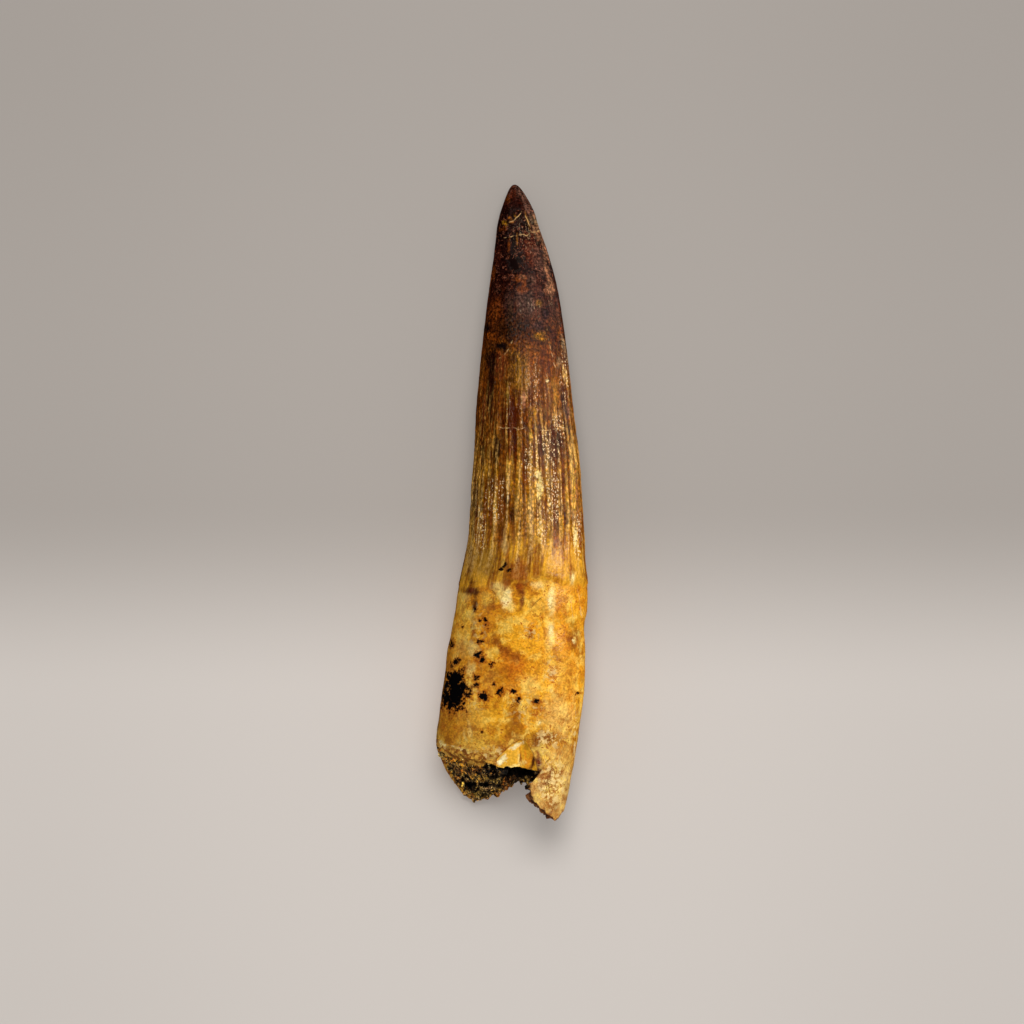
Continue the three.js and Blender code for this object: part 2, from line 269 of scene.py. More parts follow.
# %% Work out a section
def section(from_tip):
    measures = np.array(OUTLINE)
    root = np.sqrt(np.maximum(from_tip, 0))
    rows = np.sqrt(measures[:, 0])
    left, right, thick, under = (smooth_curve(rows, measures[:, c], root) for c in range(1, 5))
    squareness = 2 + 0.25 * smoothstep(from_tip, 30, 90)
    middle_x = (left + right) / 2
    middle_z = under + thick / 2
    return middle_x, middle_z, (right - left) / 2, thick / 2, squareness


def turn_between(a, b):
    return (a - b + 180) % 360 - 180


def rim_from_tip(turn):
    rows = [(t - 360, f) for t, f in RIM[-2:]] + RIM + [(t + 360, f) for t, f in RIM[:2]]
    turns, reaches = zip(*rows)
    angle = np.radians(turn)
    around = np.stack([np.cos(angle), np.sin(angle), 0 * angle], axis=-1)
    ragged = 0.22 * soft_noise(around, 0.16, seed=4) + 0.18 * soft_noise(around, 0.06, seed=5)
    ragged = ragged * (1 + 1.2 * smoothstep(np.sin(angle), 0.0, 0.4))
    return smooth_curve(turns, reaches, turn % 360) + ragged


middle_x, middle_z, half_width, half_thick, squareness = section(np.array([CROWN_LENGTH]))
print("at the enamel's edge the tooth is", round(2 * half_width[0], 1), "mm wide")


# %% [markdown]
# ## Relief
#
# On the real tooth the crown's enamel carries sharp lengthwise ridges with round valleys between
# them, and a keel on the front and back edges. The root is dentine, which is lumpy and pitted. Relief
# could be a bump texture, but a bump leaves the outline smooth, so everything that a finger could
# feel is real shape here, and only the finest grain is left to the material.

# %% Flutes, keels, lumps and the enamel's lip
SKIN_RADIUS = 8


# The place on the skin that all noise is laid on. It keeps the same girth from the tip to the root, so
# the flutes don't grow with the tooth's width.
def place_on_skin(turn, from_tip):
    angle = np.radians(turn)
    return np.stack([SKIN_RADIUS * np.cos(angle), from_tip, SKIN_RADIUS * np.sin(angle)], -1)


def skin_noise(skin, along, size, seed):
    return soft_noise(skin * (1, along, 1), size, seed)


def enamel_edge(turn):
    wave = 0.7 * np.sin(np.radians(3 * turn + 40)) + 0.35 * np.sin(np.radians(7 * turn + 110))
    return CROWN_LENGTH - 0.9 * np.cos(np.radians(turn)) + wave


def flute_wobble(skin):
    return skin_noise(skin, 0.12, 1.6, seed=6)


def flute_valleys(skin, turn):
    drift = skin_noise(skin, 0.07, 4.5, seed=25)
    phase = np.radians(FLUTES / 2 * turn + 95 * drift + 30 * flute_wobble(skin))
    return np.abs(np.sin(phase))


def flutes(skin, turn, from_tip):
    wobble = flute_wobble(skin)
    beads = skin_noise(skin, 0.45, 0.7, seed=17) * (from_tip < CROWN_LENGTH)
    strength = 0.75 + 1.1 * skin_noise(skin, 0.12, 3.2, seed=26) + 0.5 * wobble
    along = smoothstep(from_tip, 24, 48) * (1 - smoothstep(from_tip, 58, CROWN_LENGTH - 2))
    fine = 0.5 + 0.5 * np.cos(np.radians(3 * FLUTES * turn + 150 * wobble))
    valleys = flute_valleys(skin, turn)
    ridges = -FLUTE_DEPTH * strength * along * valleys - 0.05 * along * fine * (1 + wobble)
    return ridges + (0.02 + 0.05 * along) * beads


def carinae(turn, from_tip):
    along = smoothstep(from_tip, 1, 6) * (1 - smoothstep(from_tip, 62, CROWN_LENGTH))
    keels = [bump(turn_between(turn, keel), 7) for keel in CARINA_TURNS]
    return CARINA_HEIGHT * along * np.maximum(*keels)


def enamel_lip(from_tip_on_crown):
    rise = smoothstep(from_tip_on_crown, CROWN_LENGTH - 9, CROWN_LENGTH - 0.5)
    drop = smoothstep(from_tip_on_crown, CROWN_LENGTH - 0.35, CROWN_LENGTH + 0.25)
    return ENAMEL_LIP * rise * (1 - drop)


def lumps(skin, from_tip):
    on_root = smoothstep(from_tip, CROWN_LENGTH - 6, CROWN_LENGTH + 8)
    wide = skin_noise(skin, 0.4, 6, seed=1)
    narrow = skin_noise(skin, 0.7, 2.6, seed=2)
    fine = soft_noise(skin, 1.1, seed=3)
    return (0.12 + 0.3 * on_root) * wide + (0.05 + 0.11 * on_root) * narrow + 0.03 * fine


# The flake scar: seen from above, the line where the flake came off the top of the root, as places
# (across, from the tip).
SCAR_EDGE = [
    (-2.7, 103.0), (-2.5, 101.2), (-1.2, 99.9), (0.0, 98.8), (1.3, 98.0), (2.4, 97.9), (3.0, 99.0),
    (3.7, 100.2), (4.2, 101.4), (4.5, 103.2),
]
SCAR_DEPTH = 0.65
SCAR_FADES = (103.8, 104.6)
SCAR_END = 103.9


def in_scar(x, from_tip):
    edge_x, edge_from_tip = zip(*SCAR_EDGE)
    edge = np.interp(x, edge_x, edge_from_tip, left=120, right=120)
    return smoothstep(from_tip, edge - 0.05, edge + 0.3) * (1 - smoothstep(from_tip, *SCAR_FADES))


def outside_point(turn, from_tip, share_of_relief=1.0):
    middle_x, middle_z, half_width, half_thick, squareness = section(from_tip)
    across = np.cos(np.radians(turn))
    upward = np.sin(np.radians(turn))
    power = 2 / squareness
    x = middle_x + half_width * np.sign(across) * np.abs(across) ** power
    z = middle_z + half_thick * np.sign(upward) * np.abs(upward) ** power
    outward_x = across * half_thick + NOT_ZERO
    outward_z = upward * half_width
    length = np.hypot(outward_x, outward_z)
    skin = place_on_skin(turn, from_tip)
    on_crown = from_tip - enamel_edge(turn) + CROWN_LENGTH
    height = flutes(skin, turn, from_tip) + carinae(turn, from_tip) + enamel_lip(on_crown)
    height = height + smoothstep(from_tip, 0.5, 9) * lumps(skin, from_tip)
    facet = in_scar(x, from_tip) * smoothstep(upward, 0.5, 0.8)
    height = mix(height, 0.3 * height - SCAR_DEPTH, facet)
    height = height * share_of_relief
    return np.stack([x + height * outward_x / length, -from_tip, z + height * outward_z / length], -1)


print("crest at turn 90, 50 mm from the tip:", outside_point(np.array([90.0]), np.array([50.0]))[0])


# %% [markdown]
# ## The tooth's mesh
#
# The tooth could be sculpted, or lofted section by section. A grid is simpler: its columns become
# turns round the tooth, and its rows run from the tip down the outside, over the broken edge of the
# wall and back up the inside of the pulp hollow. The columns lie closer together on the upper side,
# where the relief is looked at most. The grid's two long edges meet in a seam and its short edges
# shrink to a point each, and all of these are merged.

# %% Lay out the columns and rows
COLUMNS_ABOVE = 164
COLUMNS_BELOW = 104
ROW_STEP = 0.335
ROUND_TIP_ROWS = 20
RIM_ROWS = 46
BREAK_ROWS = 8

# The hollow narrows to a point: each row holds its share of the tooth's width, and how far it is
# from the tip there.
HOLLOW = [
    (0.83, 101.5), (0.82, 100.5), (0.79, 98.5), (0.76, 96.8), (0.7, 95.2), (0.6, 94.2),
    (0.42, 93.5), (0.2, 93.1),
]
AXIS_X = -1.1
AXIS_Z = 9.4
WALL_SHARE = 0.16
PULP_END = 93.0
LAST_WHOLE_SECTION = 90.0


def grid_mesh(columns, rows):
    grid = bmesh.new()
    bmesh.ops.create_grid(grid, x_segments=columns, y_segments=rows, size=1)
    flat = np.array([vertex.co[:2] for vertex in grid.verts])
    column = np.rint((flat[:, 0] + 1) / 2 * columns).astype(int)
    row = np.rint((flat[:, 1] + 1) / 2 * rows).astype(int)
    return grid, column, row


def move_vertices(mesh, points):
    for vertex, point in zip(mesh.verts, points.tolist()):
        vertex.co = point


def close_mesh(mesh):
    bmesh.ops.remove_doubles(mesh, verts=mesh.verts, dist=0.002)
    bmesh.ops.dissolve_degenerate(mesh, edges=mesh.edges, dist=1e-4)
    bmesh.ops.recalc_face_normals(mesh, faces=mesh.faces)


def make_object(name, shaped):
    mesh = bpy.data.meshes.new(name)
    shaped.to_mesh(mesh)
    shaped.free()
    made = bpy.data.objects.new(name, mesh)
    bpy.context.collection.objects.link(made)
    return made


above = np.linspace(0, 180, COLUMNS_ABOVE, endpoint=False)
below = np.linspace(180, 360, COLUMNS_BELOW + 1)
turns = np.concatenate([above, below])
round_tip = (np.arange(ROUND_TIP_ROWS) * math.sqrt(ROW_STEP / 2 / ROUND_TIP_ROWS)) ** 2
stations = np.concatenate([round_tip, np.arange(round_tip[-1] + ROW_STEP, LAST_WHOLE_SECTION, ROW_STEP)])
row_total = len(stations) + RIM_ROWS + BREAK_ROWS + len(HOLLOW) + 1
print(len(turns) - 1, "columns and", row_total, "rows")

# %% Wrap the grid into the tooth
grid, column, row = grid_mesh(len(turns) - 1, row_total - 1)
turn = turns[column]
reach = rim_from_tip(turns)[column]
last_station = len(stations) - 1
rim_row = last_station + RIM_ROWS
break_row = rim_row + BREAK_ROWS

from_tip = stations[np.minimum(row, last_station)]
to_rim = np.clip((row - last_station) / RIM_ROWS, 0, 1)
from_tip = mix(from_tip, reach, to_rim)
shape = outside_point(turn, from_tip)

# The broken edge of the wall is rough and a little hollow. On the upper left it leans outwards, so
# that the break shows from above.
over_break = np.clip((row - rim_row) / BREAK_ROWS, 0, 1)
wall_share = 1 - WALL_SHARE * over_break
rough = soft_noise(shape, 0.9, seed=7) + 0.6 * soft_noise(shape, 0.4, seed=8)
facing = np.sin(np.radians(turn)) * smoothstep(turn, 98, 114)
slope = mix(0.3, -1.7, smoothstep(facing, 0.0, 0.6))
sunk = np.sin(np.pi * over_break) * (0.25 + 0.3 * rough) + slope * over_break
shape[:, 1] += np.where(row > rim_row, sunk, 0)

# Inside the hollow the wall follows the outside at a smaller share of its width.
into = np.clip(row - break_row, 0, len(HOLLOW))
hollow_share = np.array([1 - WALL_SHARE] + [share for share, _ in HOLLOW])[into]
hollow_end = np.array([0.0] + [place for _, place in HOLLOW])[into]
in_hollow = row > break_row
wall_share = np.where(in_hollow, hollow_share, wall_share)
at_end = row == row_total - 1
wall_share = np.where(at_end, 0, wall_share)
shape[:, 0] = mix(AXIS_X, shape[:, 0], wall_share)
shape[:, 2] = mix(AXIS_Z, shape[:, 2], wall_share)
shape[:, 1] = np.where(in_hollow, np.maximum(-hollow_end, shape[:, 1] + 0.2), shape[:, 1])
shape[:, 1] = np.where(at_end, -PULP_END, shape[:, 1])

at_tip = row == 0
shape[at_tip] = shape[at_tip].mean(axis=0)
move_vertices(grid, shape)
close_mesh(grid)
tooth = make_object("tooth", grid)
whole_mesh = tooth.data
print("tooth before the notch:", len(whole_mesh.polygons), "faces")

# %% [markdown]
# ## The notch
#
# A long splinter of the root's wall is left on one side, and the wall beside it has broken away. A
# rough block is made in the shape of the gap and cut from the tooth with a Boolean, which leaves a
# torn face as deep as the wall. Its sides lean, so that some of the break shows from above.

# %% Cut the notch with a rough block
NOTCH_SPLINTER_SIDE = [
    (5.0, 103.5), (4.3, 104.6), (3.6, 105.4), (2.5, 105.8), (2.5, 106.5), (3.4, 106.8),
    (3.5, 107.5), (4.1, 108.6), (5.1, 109.7), (6.4, 111.0), (6.9, 114.0),
]
NOTCH_WALL_SIDE = [(-1.6, 114.0), (-1.2, 102.6), (0.6, 102.6), (2.3, 102.8), (3.8, 103.3)]
NOTCH_BOTTOM = 9.0
NOTCH_TOP = 21.0
NOTCH_CELL = 0.3
NOTCH_LEAN = 1.2
LEAN_HEIGHT = 2.2


def walk_round(corners, step):
    closed = np.array(corners + corners[:1])
    lengths = np.hypot(*np.diff(closed, axis=0).T)
    travelled = np.concatenate([[0], np.cumsum(lengths)])
    places = np.linspace(0, travelled[-1], int(travelled[-1] / step) + 1)
    return np.stack([np.interp(places, travelled, closed[:, c]) for c in (0, 1)], -1)


edge = walk_round(NOTCH_SPLINTER_SIDE + NOTCH_WALL_SIDE, NOTCH_CELL)
layers = int((NOTCH_TOP - NOTCH_BOTTOM) / NOTCH_CELL)
block, column, row = grid_mesh(len(edge) - 1, layers + 2)
height = NOTCH_BOTTOM + np.clip((row - 1) / layers, 0, 1) * (NOTCH_TOP - NOTCH_BOTTOM)
cut = np.stack([edge[column, 0], -edge[column, 1], height], -1)

# The splinter's side leans from a little below its outside, which is lower the farther out it is.
skin_height = 17.0 - 0.5 * np.maximum(edge[column, 0] - 4, 0)
leaning = smoothstep(edge[column, 1], 106.9, 107.8) - 0.5 * smoothstep(edge[column, 1], 109.8, 111.2)
cut[:, 0] -= NOTCH_LEAN * leaning * np.clip(skin_height - height, 0, LEAN_HEIGHT)
at_seam = (column == 0) | (column == len(edge) - 1)
torn = 0.24 * soft_noise(cut, 1.1, seed=9) + 0.13 * soft_noise(cut, 0.45, seed=10)
cut[:, :2] += np.where(at_seam, 0, torn)[:, None]
capped = (row == 0) | (row == layers + 2)
cut[capped, :2] = edge.mean(axis=0) * (1, -1)
move_vertices(block, cut)
close_mesh(block)
block_object = make_object("notch block", block)
boolean = tooth.modifiers.new("notch", "BOOLEAN")
boolean.operation = "DIFFERENCE"
boolean.solver = "EXACT"
boolean.object = block_object
bpy.context.view_layer.update()
cut_mesh = bpy.data.meshes.new_from_object(tooth.evaluated_get(bpy.context.evaluated_depsgraph_get()))
tooth.modifiers.clear()
tooth.data = cut_mesh
bpy.data.meshes.remove(whole_mesh)
bpy.data.objects.remove(block_object)
print("tooth after the notch:", len(cut_mesh.polygons), "faces")


# %% Tidy the cut mesh
def tidy_mesh(mesh, sharp_degrees):
    shaped = bmesh.new()
    shaped.from_mesh(mesh)
    bmesh.ops.remove_doubles(shaped, verts=shaped.verts, dist=0.001)
    many_sided = [face for face in shaped.faces if len(face.verts) > 4]
    bmesh.ops.triangulate(shaped, faces=many_sided)
    loose = [vertex for vertex in shaped.verts if not vertex.link_faces]
    bmesh.ops.delete(shaped, geom=loose, context="VERTS")
    bmesh.ops.recalc_face_normals(shaped, faces=shaped.faces)
    shaped.to_mesh(mesh)
    triangles = sum(len(face.verts) - 2 for face in shaped.faces)
    open_edges = sum(not edge.is_manifold for edge in shaped.edges)
    shaped.free()
    mesh.shade_smooth()
    mesh.set_sharp_from_angle(angle=math.radians(sharp_degrees))
    return triangles, open_edges


print("tooth: %d triangles, %d open edges" % tidy_mesh(tooth.data, sharp_degrees=60))

# %% [markdown]
# ## Pigments
#
# Most of the colours came from iron and manganese in the ground water, and some marks paint
# highlights, sheen and shade instead. They are kept in one small box of paints, named as a painter
# would name them, and turned from the usual screen values to linear light.

# %% Mix the pigments
PIGMENTS = {
    "soot": "#0b0604",
    "black maroon": "#240b07",
    "maroon": "#441508",
    "red brown": "#6e2c14",
    "violet grey": "#624236",
    "dark violet": "#2c1a20",
    "smoke": "#33201a",
    "pale smoke": "#5c453c",
    "umber": "#562706",
    "brown": "#753c08",
    "olive": "#6e4a10",
    "ochre": "#a56f12",
    "gold": "#ca901c",
    "amber": "#e4a01e",
    "orange": "#d07a12",
    "rust": "#8c4208",
    "straw": "#eec04a",
    "cream": "#f5d780",
    "ivory": "#fdedb8",
    "bone": "#dcb05e",
    "dull bone": "#cb9f56",
    "pink tan": "#b67e58",
    "khaki": "#8c6c26",
    "grey tan": "#a78c64",
}


def linear(hex_colour):
    screen = np.array([int(hex_colour[i:i + 2], 16) / 255 for i in (1, 3, 5)])
    return np.where(screen <= 0.04045, screen / 12.92, ((screen + 0.055) / 1.055) ** 2.4)


paints = {name: linear(code) for name, code in PIGMENTS.items()}
print(len(paints), "pigments")

# %% [markdown]
# ## Ground colours
#
# Before any mark, the whole tooth gets one colour that changes from the tip to the root. The enamel
# goes from a maroon tip through umber and ochre to gold, and the root from amber to dull bone. The
# marks that follow need to know where every point of the mesh lies on the tooth, so this is worked out
# here too.

# %% Lay the ground colours
GROUND = [
    (0, "violet grey"), (3, "maroon"), (4.5, "black maroon"), (15, "black maroon"), (22, "maroon"),
    (26, "umber"), (33, "brown"), (42, "brown"), (50, "ochre"), (58, "ochre"), (64, "gold"),
    (70, "gold"), (72, "amber"), (90, "amber"), (98, "gold"), (104, "dull bone"),
]

# At the very tip the half-widths shrink to nothing, and nothing can be divided by that.
LEAST_HALF = 0.01


def ground_colour(from_tip):
    rows = [row for row, _ in GROUND]
    colours = np.array([paints[name] for _, name in GROUND])
    return np.stack([np.interp(from_tip, rows, colours[:, c]) for c in range(3)], -1)


def read_vertices(mesh, what="co"):
    flat = np.empty(3 * len(mesh.vertices))
    mesh.vertices.foreach_get(what, flat)
    return flat.reshape(-1, 3)


points = read_vertices(tooth.data)
normals = read_vertices(tooth.data, "normal")
x = points[:, 0]
from_tip = -points[:, 1]
middle_x, middle_z, half_width, half_thick, squareness = section(from_tip)
half_width = np.maximum(half_width, LEAST_HALF)
half_thick = np.maximum(half_thick, LEAST_HALF)
across = (x - middle_x) / half_width
upward = (points[:, 2] - middle_z) / half_thick
turn = np.degrees(np.arctan2(upward, across)) % 360
skin = place_on_skin(turn, from_tip)
wander = skin_noise(skin, 0.6, 1.6, seed=15)
fray = skin_noise(skin, 0.45, 0.6, seed=16)
on_root = smoothstep(from_tip - enamel_edge(turn) + 1.1 * wander + 0.9 * fray, -0.35, 0.35)
tone = ground_colour(from_tip + 2.0 * wander)
print("painting", len(points), "points")

# %% [markdown]
# ## Marks
#
# Each mark is a patch: its middle (across, from the tip), its half-width and half-length, how far it
# leans to the right as it goes down, its pigment, and its strength. Slow noise bends every edge and
# quick noise frays it, so that no mark looks like an ellipse. They are painted on the side that faces
# up, one over another, as a painter would. The scar of the flake has marks of its own.

# %% Marks on the tip
TIP_MARKS = [
    (0.3, 1.6, 0.6, 1.4, 0, "red brown", 0.6),
    # The violet grey marks paint the softbox's broad sheen on the right of the tip: a painted reflection.
    (1.7, 1.7, 0.7, 1.5, 20, "violet grey", 0.75),
    (2.9, 3.7, 1.1, 3.2, 24, "violet grey", 0.85),
    (4.2, 6.6, 0.8, 1.5, 22, "grey tan", 0.35),
    (0.6, 3.9, 1.3, 1.7, 0, "black maroon", 0.85),
    (-0.6, 2.5, 0.5, 0.8, -15, "rust", 0.6),
    (-1.1, 6.9, 0.65, 0.42, -54, "gold", 0.75),
    (-0.2, 6.35, 0.6, 0.36, -54, "orange", 0.7),
    (0.6, 5.7, 0.45, 0.22, -54, "ochre", 0.8),
    (2.95, 6.5, 0.2, 1.3, 14, "ochre", 0.6),
    (4.7, 8.6, 0.9, 1.6, 20, "pink tan", 0.5),
    (-1.6, 8.0, 0.9, 0.3, 0, "rust", 0.9),
    (0.4, 8.6, 1.3, 1.3, 0, "black maroon", 0.7),
    (2.2, 7.6, 0.8, 1.4, 10, "black maroon", 0.6),
    (-0.35, 11.1, 0.24, 1.5, 0, "rust", 0.9),
    (1.06, 9.9, 0.17, 1.0, 0, "ochre", 0.75),
    (3.2, 11.6, 1.5, 3.4, 10, "red brown", 0.45),
    (-2.6, 12.6, 0.8, 2.0, -10, "red brown", 0.4),
    (0.5, 14.2, 1.1, 2.0, 0, "soot", 1.0),
    (1.7, 16.8, 1.5, 0.7, 0, "rust", 0.75),
    (1.9, 16.6, 0.8, 0.4, 0, "pink tan", 0.5),
    (-3.3, 15.8, 0.5, 1.6, -8, "rust", 0.8),
    (-4.0, 19.0, 0.4, 1.6, -8, "rust", 0.5),
    (4.9, 13.8, 1.1, 3.6, 17, "violet grey", 0.5),
    (6.6, 16.6, 0.45, 3.6, 13, "pink tan", 0.65),
    (6.0, 11.2, 0.6, 2.6, 16, "pink tan", 0.5),
    (-2.3, 18.9, 0.55, 0.7, 0, "soot", 0.9),
    (2.1, 18.7, 1.0, 1.0, 0, "rust", 0.5),
    (6.8, 18.9, 1.0, 1.2, 0, "pink tan", 0.6),
    (3.6, 17.0, 1.0, 1.0, 0, "violet grey", 0.6),
    (4.8, 22.6, 4.2, 3.6, 0, "violet grey", 0.25),
    (2.0, 20.6, 1.6, 1.4, 0, "violet grey", 0.35),
    (5.0, 21.3, 0.7, 1.0, 0, "ochre", 0.5),
    (6.2, 22.9, 0.7, 0.7, 0, "dark violet", 0.85),
    (3.2, 22.4, 0.5, 0.8, 0, "dark violet", 0.6),
    (-0.4, 25.6, 1.5, 1.8, 0, "soot", 0.6),
    (1.9, 25.5, 1.6, 1.5, 0, "black maroon", 0.8),
    (4.9, 25.4, 1.4, 0.9, 0, "dark violet", 0.7),
    (-2.9, 22.6, 1.4, 2.4, -10, "rust", 0.45),
    (-4.2, 25.6, 0.5, 0.7, 0, "soot", 0.8),
    (2.4, 21.6, 1.7, 2.6, 0, "pale smoke", 0.5),
    (-0.3, 21.6, 1.1, 3.8, 0, "smoke", 0.8),
    (5.9, 23.5, 0.8, 0.8, 0, "dark violet", 0.7),
    (5.4, 19.6, 0.6, 0.6, 0, "dark violet", 0.6),
    (-0.3, 27.2, 0.8, 1.2, 0, "black maroon", 0.6),
    (0.45, 10.4, 0.3, 1.8, 0, "soot", 0.8),
]
print(len(TIP_MARKS), "marks on the tip")

# %% Marks on the rest of the crown
CROWN_MARKS = [
    (-3.4, 27.1, 1.1, 0.9, 20, "rust", 0.75),
    (4.9, 27.1, 1.3, 0.8, 0, "ochre", 0.75),
    (-1.7, 28.8, 1.1, 0.65, 0, "soot", 0.9),
    (-3.5, 31.6, 1.3, 2.2, 0, "black maroon", 0.8),
    (-5.0, 29.0, 0.5, 1.8, 0, "rust", 0.6),
    (0.8, 33.2, 2.0, 4.4, 0, "olive", 0.6),
    (-1.8, 32.0, 1.4, 3.0, 0, "red brown", 0.6),
    (1.3, 33.5, 0.5, 3.0, 0, "ochre", 0.4),
    (3.6, 31.0, 1.0, 2.6, 0, "rust", 0.5),
    (7.8, 28.5, 0.7, 3.4, 10, "maroon", 0.85),
    (8.8, 25.7, 0.35, 0.9, 8, "red brown", 0.8),
    (9.3, 29.0, 0.4, 2.0, 10, "grey tan", 0.6),
    (9.4, 33.6, 0.5, 1.8, 8, "bone", 0.8),
    (8.4, 31.6, 0.6, 1.0, 8, "grey tan", 0.4),
    (6.2, 31.4, 1.6, 2.6, 4, "red brown", 0.5),
    (7.6, 36.5, 0.6, 3.0, 6, "ochre", 0.5),
    (6.3, 35.0, 0.3, 0.3, 0, "cream", 0.8),
    (-5.2, 35.5, 0.5, 1.0, 0, "rust", 0.7),
    (-3.6, 35.2, 0.8, 6.2, -3, "black maroon", 0.85),
    (-4.9, 40.0, 0.4, 3.4, -3, "red brown", 0.7),
    (-0.7, 37.6, 0.3, 2.2, 0, "khaki", 0.8),
    (0.75, 38.5, 0.22, 1.0, 0, "gold", 0.7),
    (2.2, 38.0, 0.4, 1.6, 0, "pink tan", 0.7),
    (4.0, 40.1, 0.6, 1.2, 0, "gold", 0.7),
    (4.2, 42.0, 1.3, 1.2, 0, "ochre", 0.5),
    # The violet grey marks on the right of the crown paint the softbox's sheen: a painted reflection.
    (9.6, 40.0, 0.6, 2.4, 10, "violet grey", 0.85),
    (10.0, 43.4, 0.4, 1.3, 10, "dark violet", 0.9),
    (9.0, 38.0, 0.35, 1.6, 8, "dark violet", 0.7),
    (6.8, 46.4, 3.0, 3.6, 0, "violet grey", 0.6),
    (4.6, 43.1, 0.8, 0.8, 0, "violet grey", 0.7),
    (8.8, 43.2, 0.45, 0.4, 0, "straw", 0.8),
    (8.2, 45.8, 0.5, 2.4, 0, "dark violet", 0.75),
    (5.6, 46.8, 0.4, 1.4, 0, "black maroon", 0.6),
    (3.3, 44.6, 0.35, 0.7, 0, "straw", 0.7),
    (-2.5, 47.0, 0.6, 2.6, 0, "black maroon", 0.9),
    (-3.4, 48.6, 0.35, 1.8, 0, "umber", 0.8),
    (-5.0, 47.5, 0.4, 2.4, 0, "black maroon", 0.7),
    (-6.3, 46.0, 0.35, 2.2, 0, "umber", 0.7),
    (3.1, 48.2, 0.7, 1.9, 0, "umber", 0.8),
    (0.4, 46.0, 0.5, 3.0, 0, "umber", 0.6),
    (-1.0, 50.0, 0.55, 2.0, 0, "straw", 0.45),
    (-2.6, 55.4, 1.9, 3.0, 0, "straw", 0.35),
    (4.7, 51.2, 0.7, 1.1, 0, "straw", 1.0),
    (5.0, 53.4, 0.6, 1.9, 4, "straw", 1.0),
    (4.8, 55.0, 0.35, 1.0, 4, "cream", 0.8),
    (6.9, 52.6, 0.35, 1.6, 0, "khaki", 0.8),
    (8.8, 50.4, 0.6, 1.0, 0, "gold", 0.7),
    (9.0, 57.4, 1.1, 1.2, 0, "umber", 0.55),
    (9.6, 59.0, 0.38, 1.8, 4, "umber", 0.9),
    (10.6, 58.3, 0.5, 1.2, 4, "grey tan", 0.7),
    (7.4, 60.0, 1.1, 1.5, 0, "violet grey", 0.45),
    (11.2, 62.4, 0.38, 2.6, 8, "straw", 0.9),
    (10.2, 63.0, 0.5, 2.4, 6, "amber", 0.7),
    (-6.2, 55.4, 0.8, 3.6, 0, "umber", 0.85),
    (-5.2, 57.0, 0.3, 3.0, 0, "black maroon", 0.5),
    (-4.6, 59.4, 0.3, 4.2, 0, "bone", 0.55),
    (-3.6, 53.0, 0.7, 2.6, 0, "khaki", 0.6),
    (-1.2, 54.6, 0.5, 1.6, 0, "khaki", 0.7),
    (-0.6, 55.8, 0.55, 0.9, 0, "dark violet", 0.75),
    (0.2, 58.6, 0.5, 1.4, 0, "umber", 0.7),
    (-2.8, 60.6, 0.35, 3.6, 0, "rust", 0.7),
    (-5.7, 61.6, 0.3, 4.2, -2, "bone", 0.6),
    (-3.5, 57.6, 0.3, 3.4, 0, "bone", 0.6),
    (-1.7, 57.0, 0.35, 2.6, 0, "bone", 0.55),
    (-0.9, 63.0, 0.3, 3.4, 0, "bone", 0.55),
    (-6.7, 59.6, 0.25, 4.8, -3, "khaki", 0.7),
    (1.0, 57.2, 0.3, 2.8, 0, "bone", 0.45),
    (5.0, 62.0, 0.35, 3.8, 0, "straw", 0.4),
    (6.4, 57.6, 0.3, 3.4, 0, "bone", 0.6),
    (-1.3, 63.0, 0.5, 3.0, 0, "grey tan", 0.5),
    (-0.35, 62.4, 0.25, 1.8, 0, "umber", 0.8),
    (1.6, 60.6, 0.45, 2.6, 0, "brown", 0.6),
    (3.2, 62.2, 0.7, 5.6, 0, "brown", 0.75),
    (2.6, 66.4, 1.4, 3.0, 0, "brown", 0.5),
    (10.4, 54.5, 1.3, 4.0, 2, "gold", 0.5),
    (10.9, 48.6, 0.7, 5.0, 5, "bone", 0.55),
    (11.6, 56.0, 0.6, 5.0, 5, "straw", 0.5),
    (8.2, 66.8, 3.6, 3.0, 0, "amber", 0.6),
    (-4.2, 66.5, 2.6, 3.0, 0, "olive", 0.55),
    (-7.2, 66.5, 0.7, 4.0, 0, "umber", 0.6),
    (1.3, 68.2, 1.8, 2.6, 0, "rust", 0.85),
    (-1.2, 67.2, 0.8, 1.2, 0, "khaki", 0.6),
    (5.2, 66.0, 0.4, 2.4, 0, "brown", 0.6),
    (7.4, 64.6, 0.35, 2.2, 0, "brown", 0.5),
]
print(len(CROWN_MARKS), "marks on the crown")

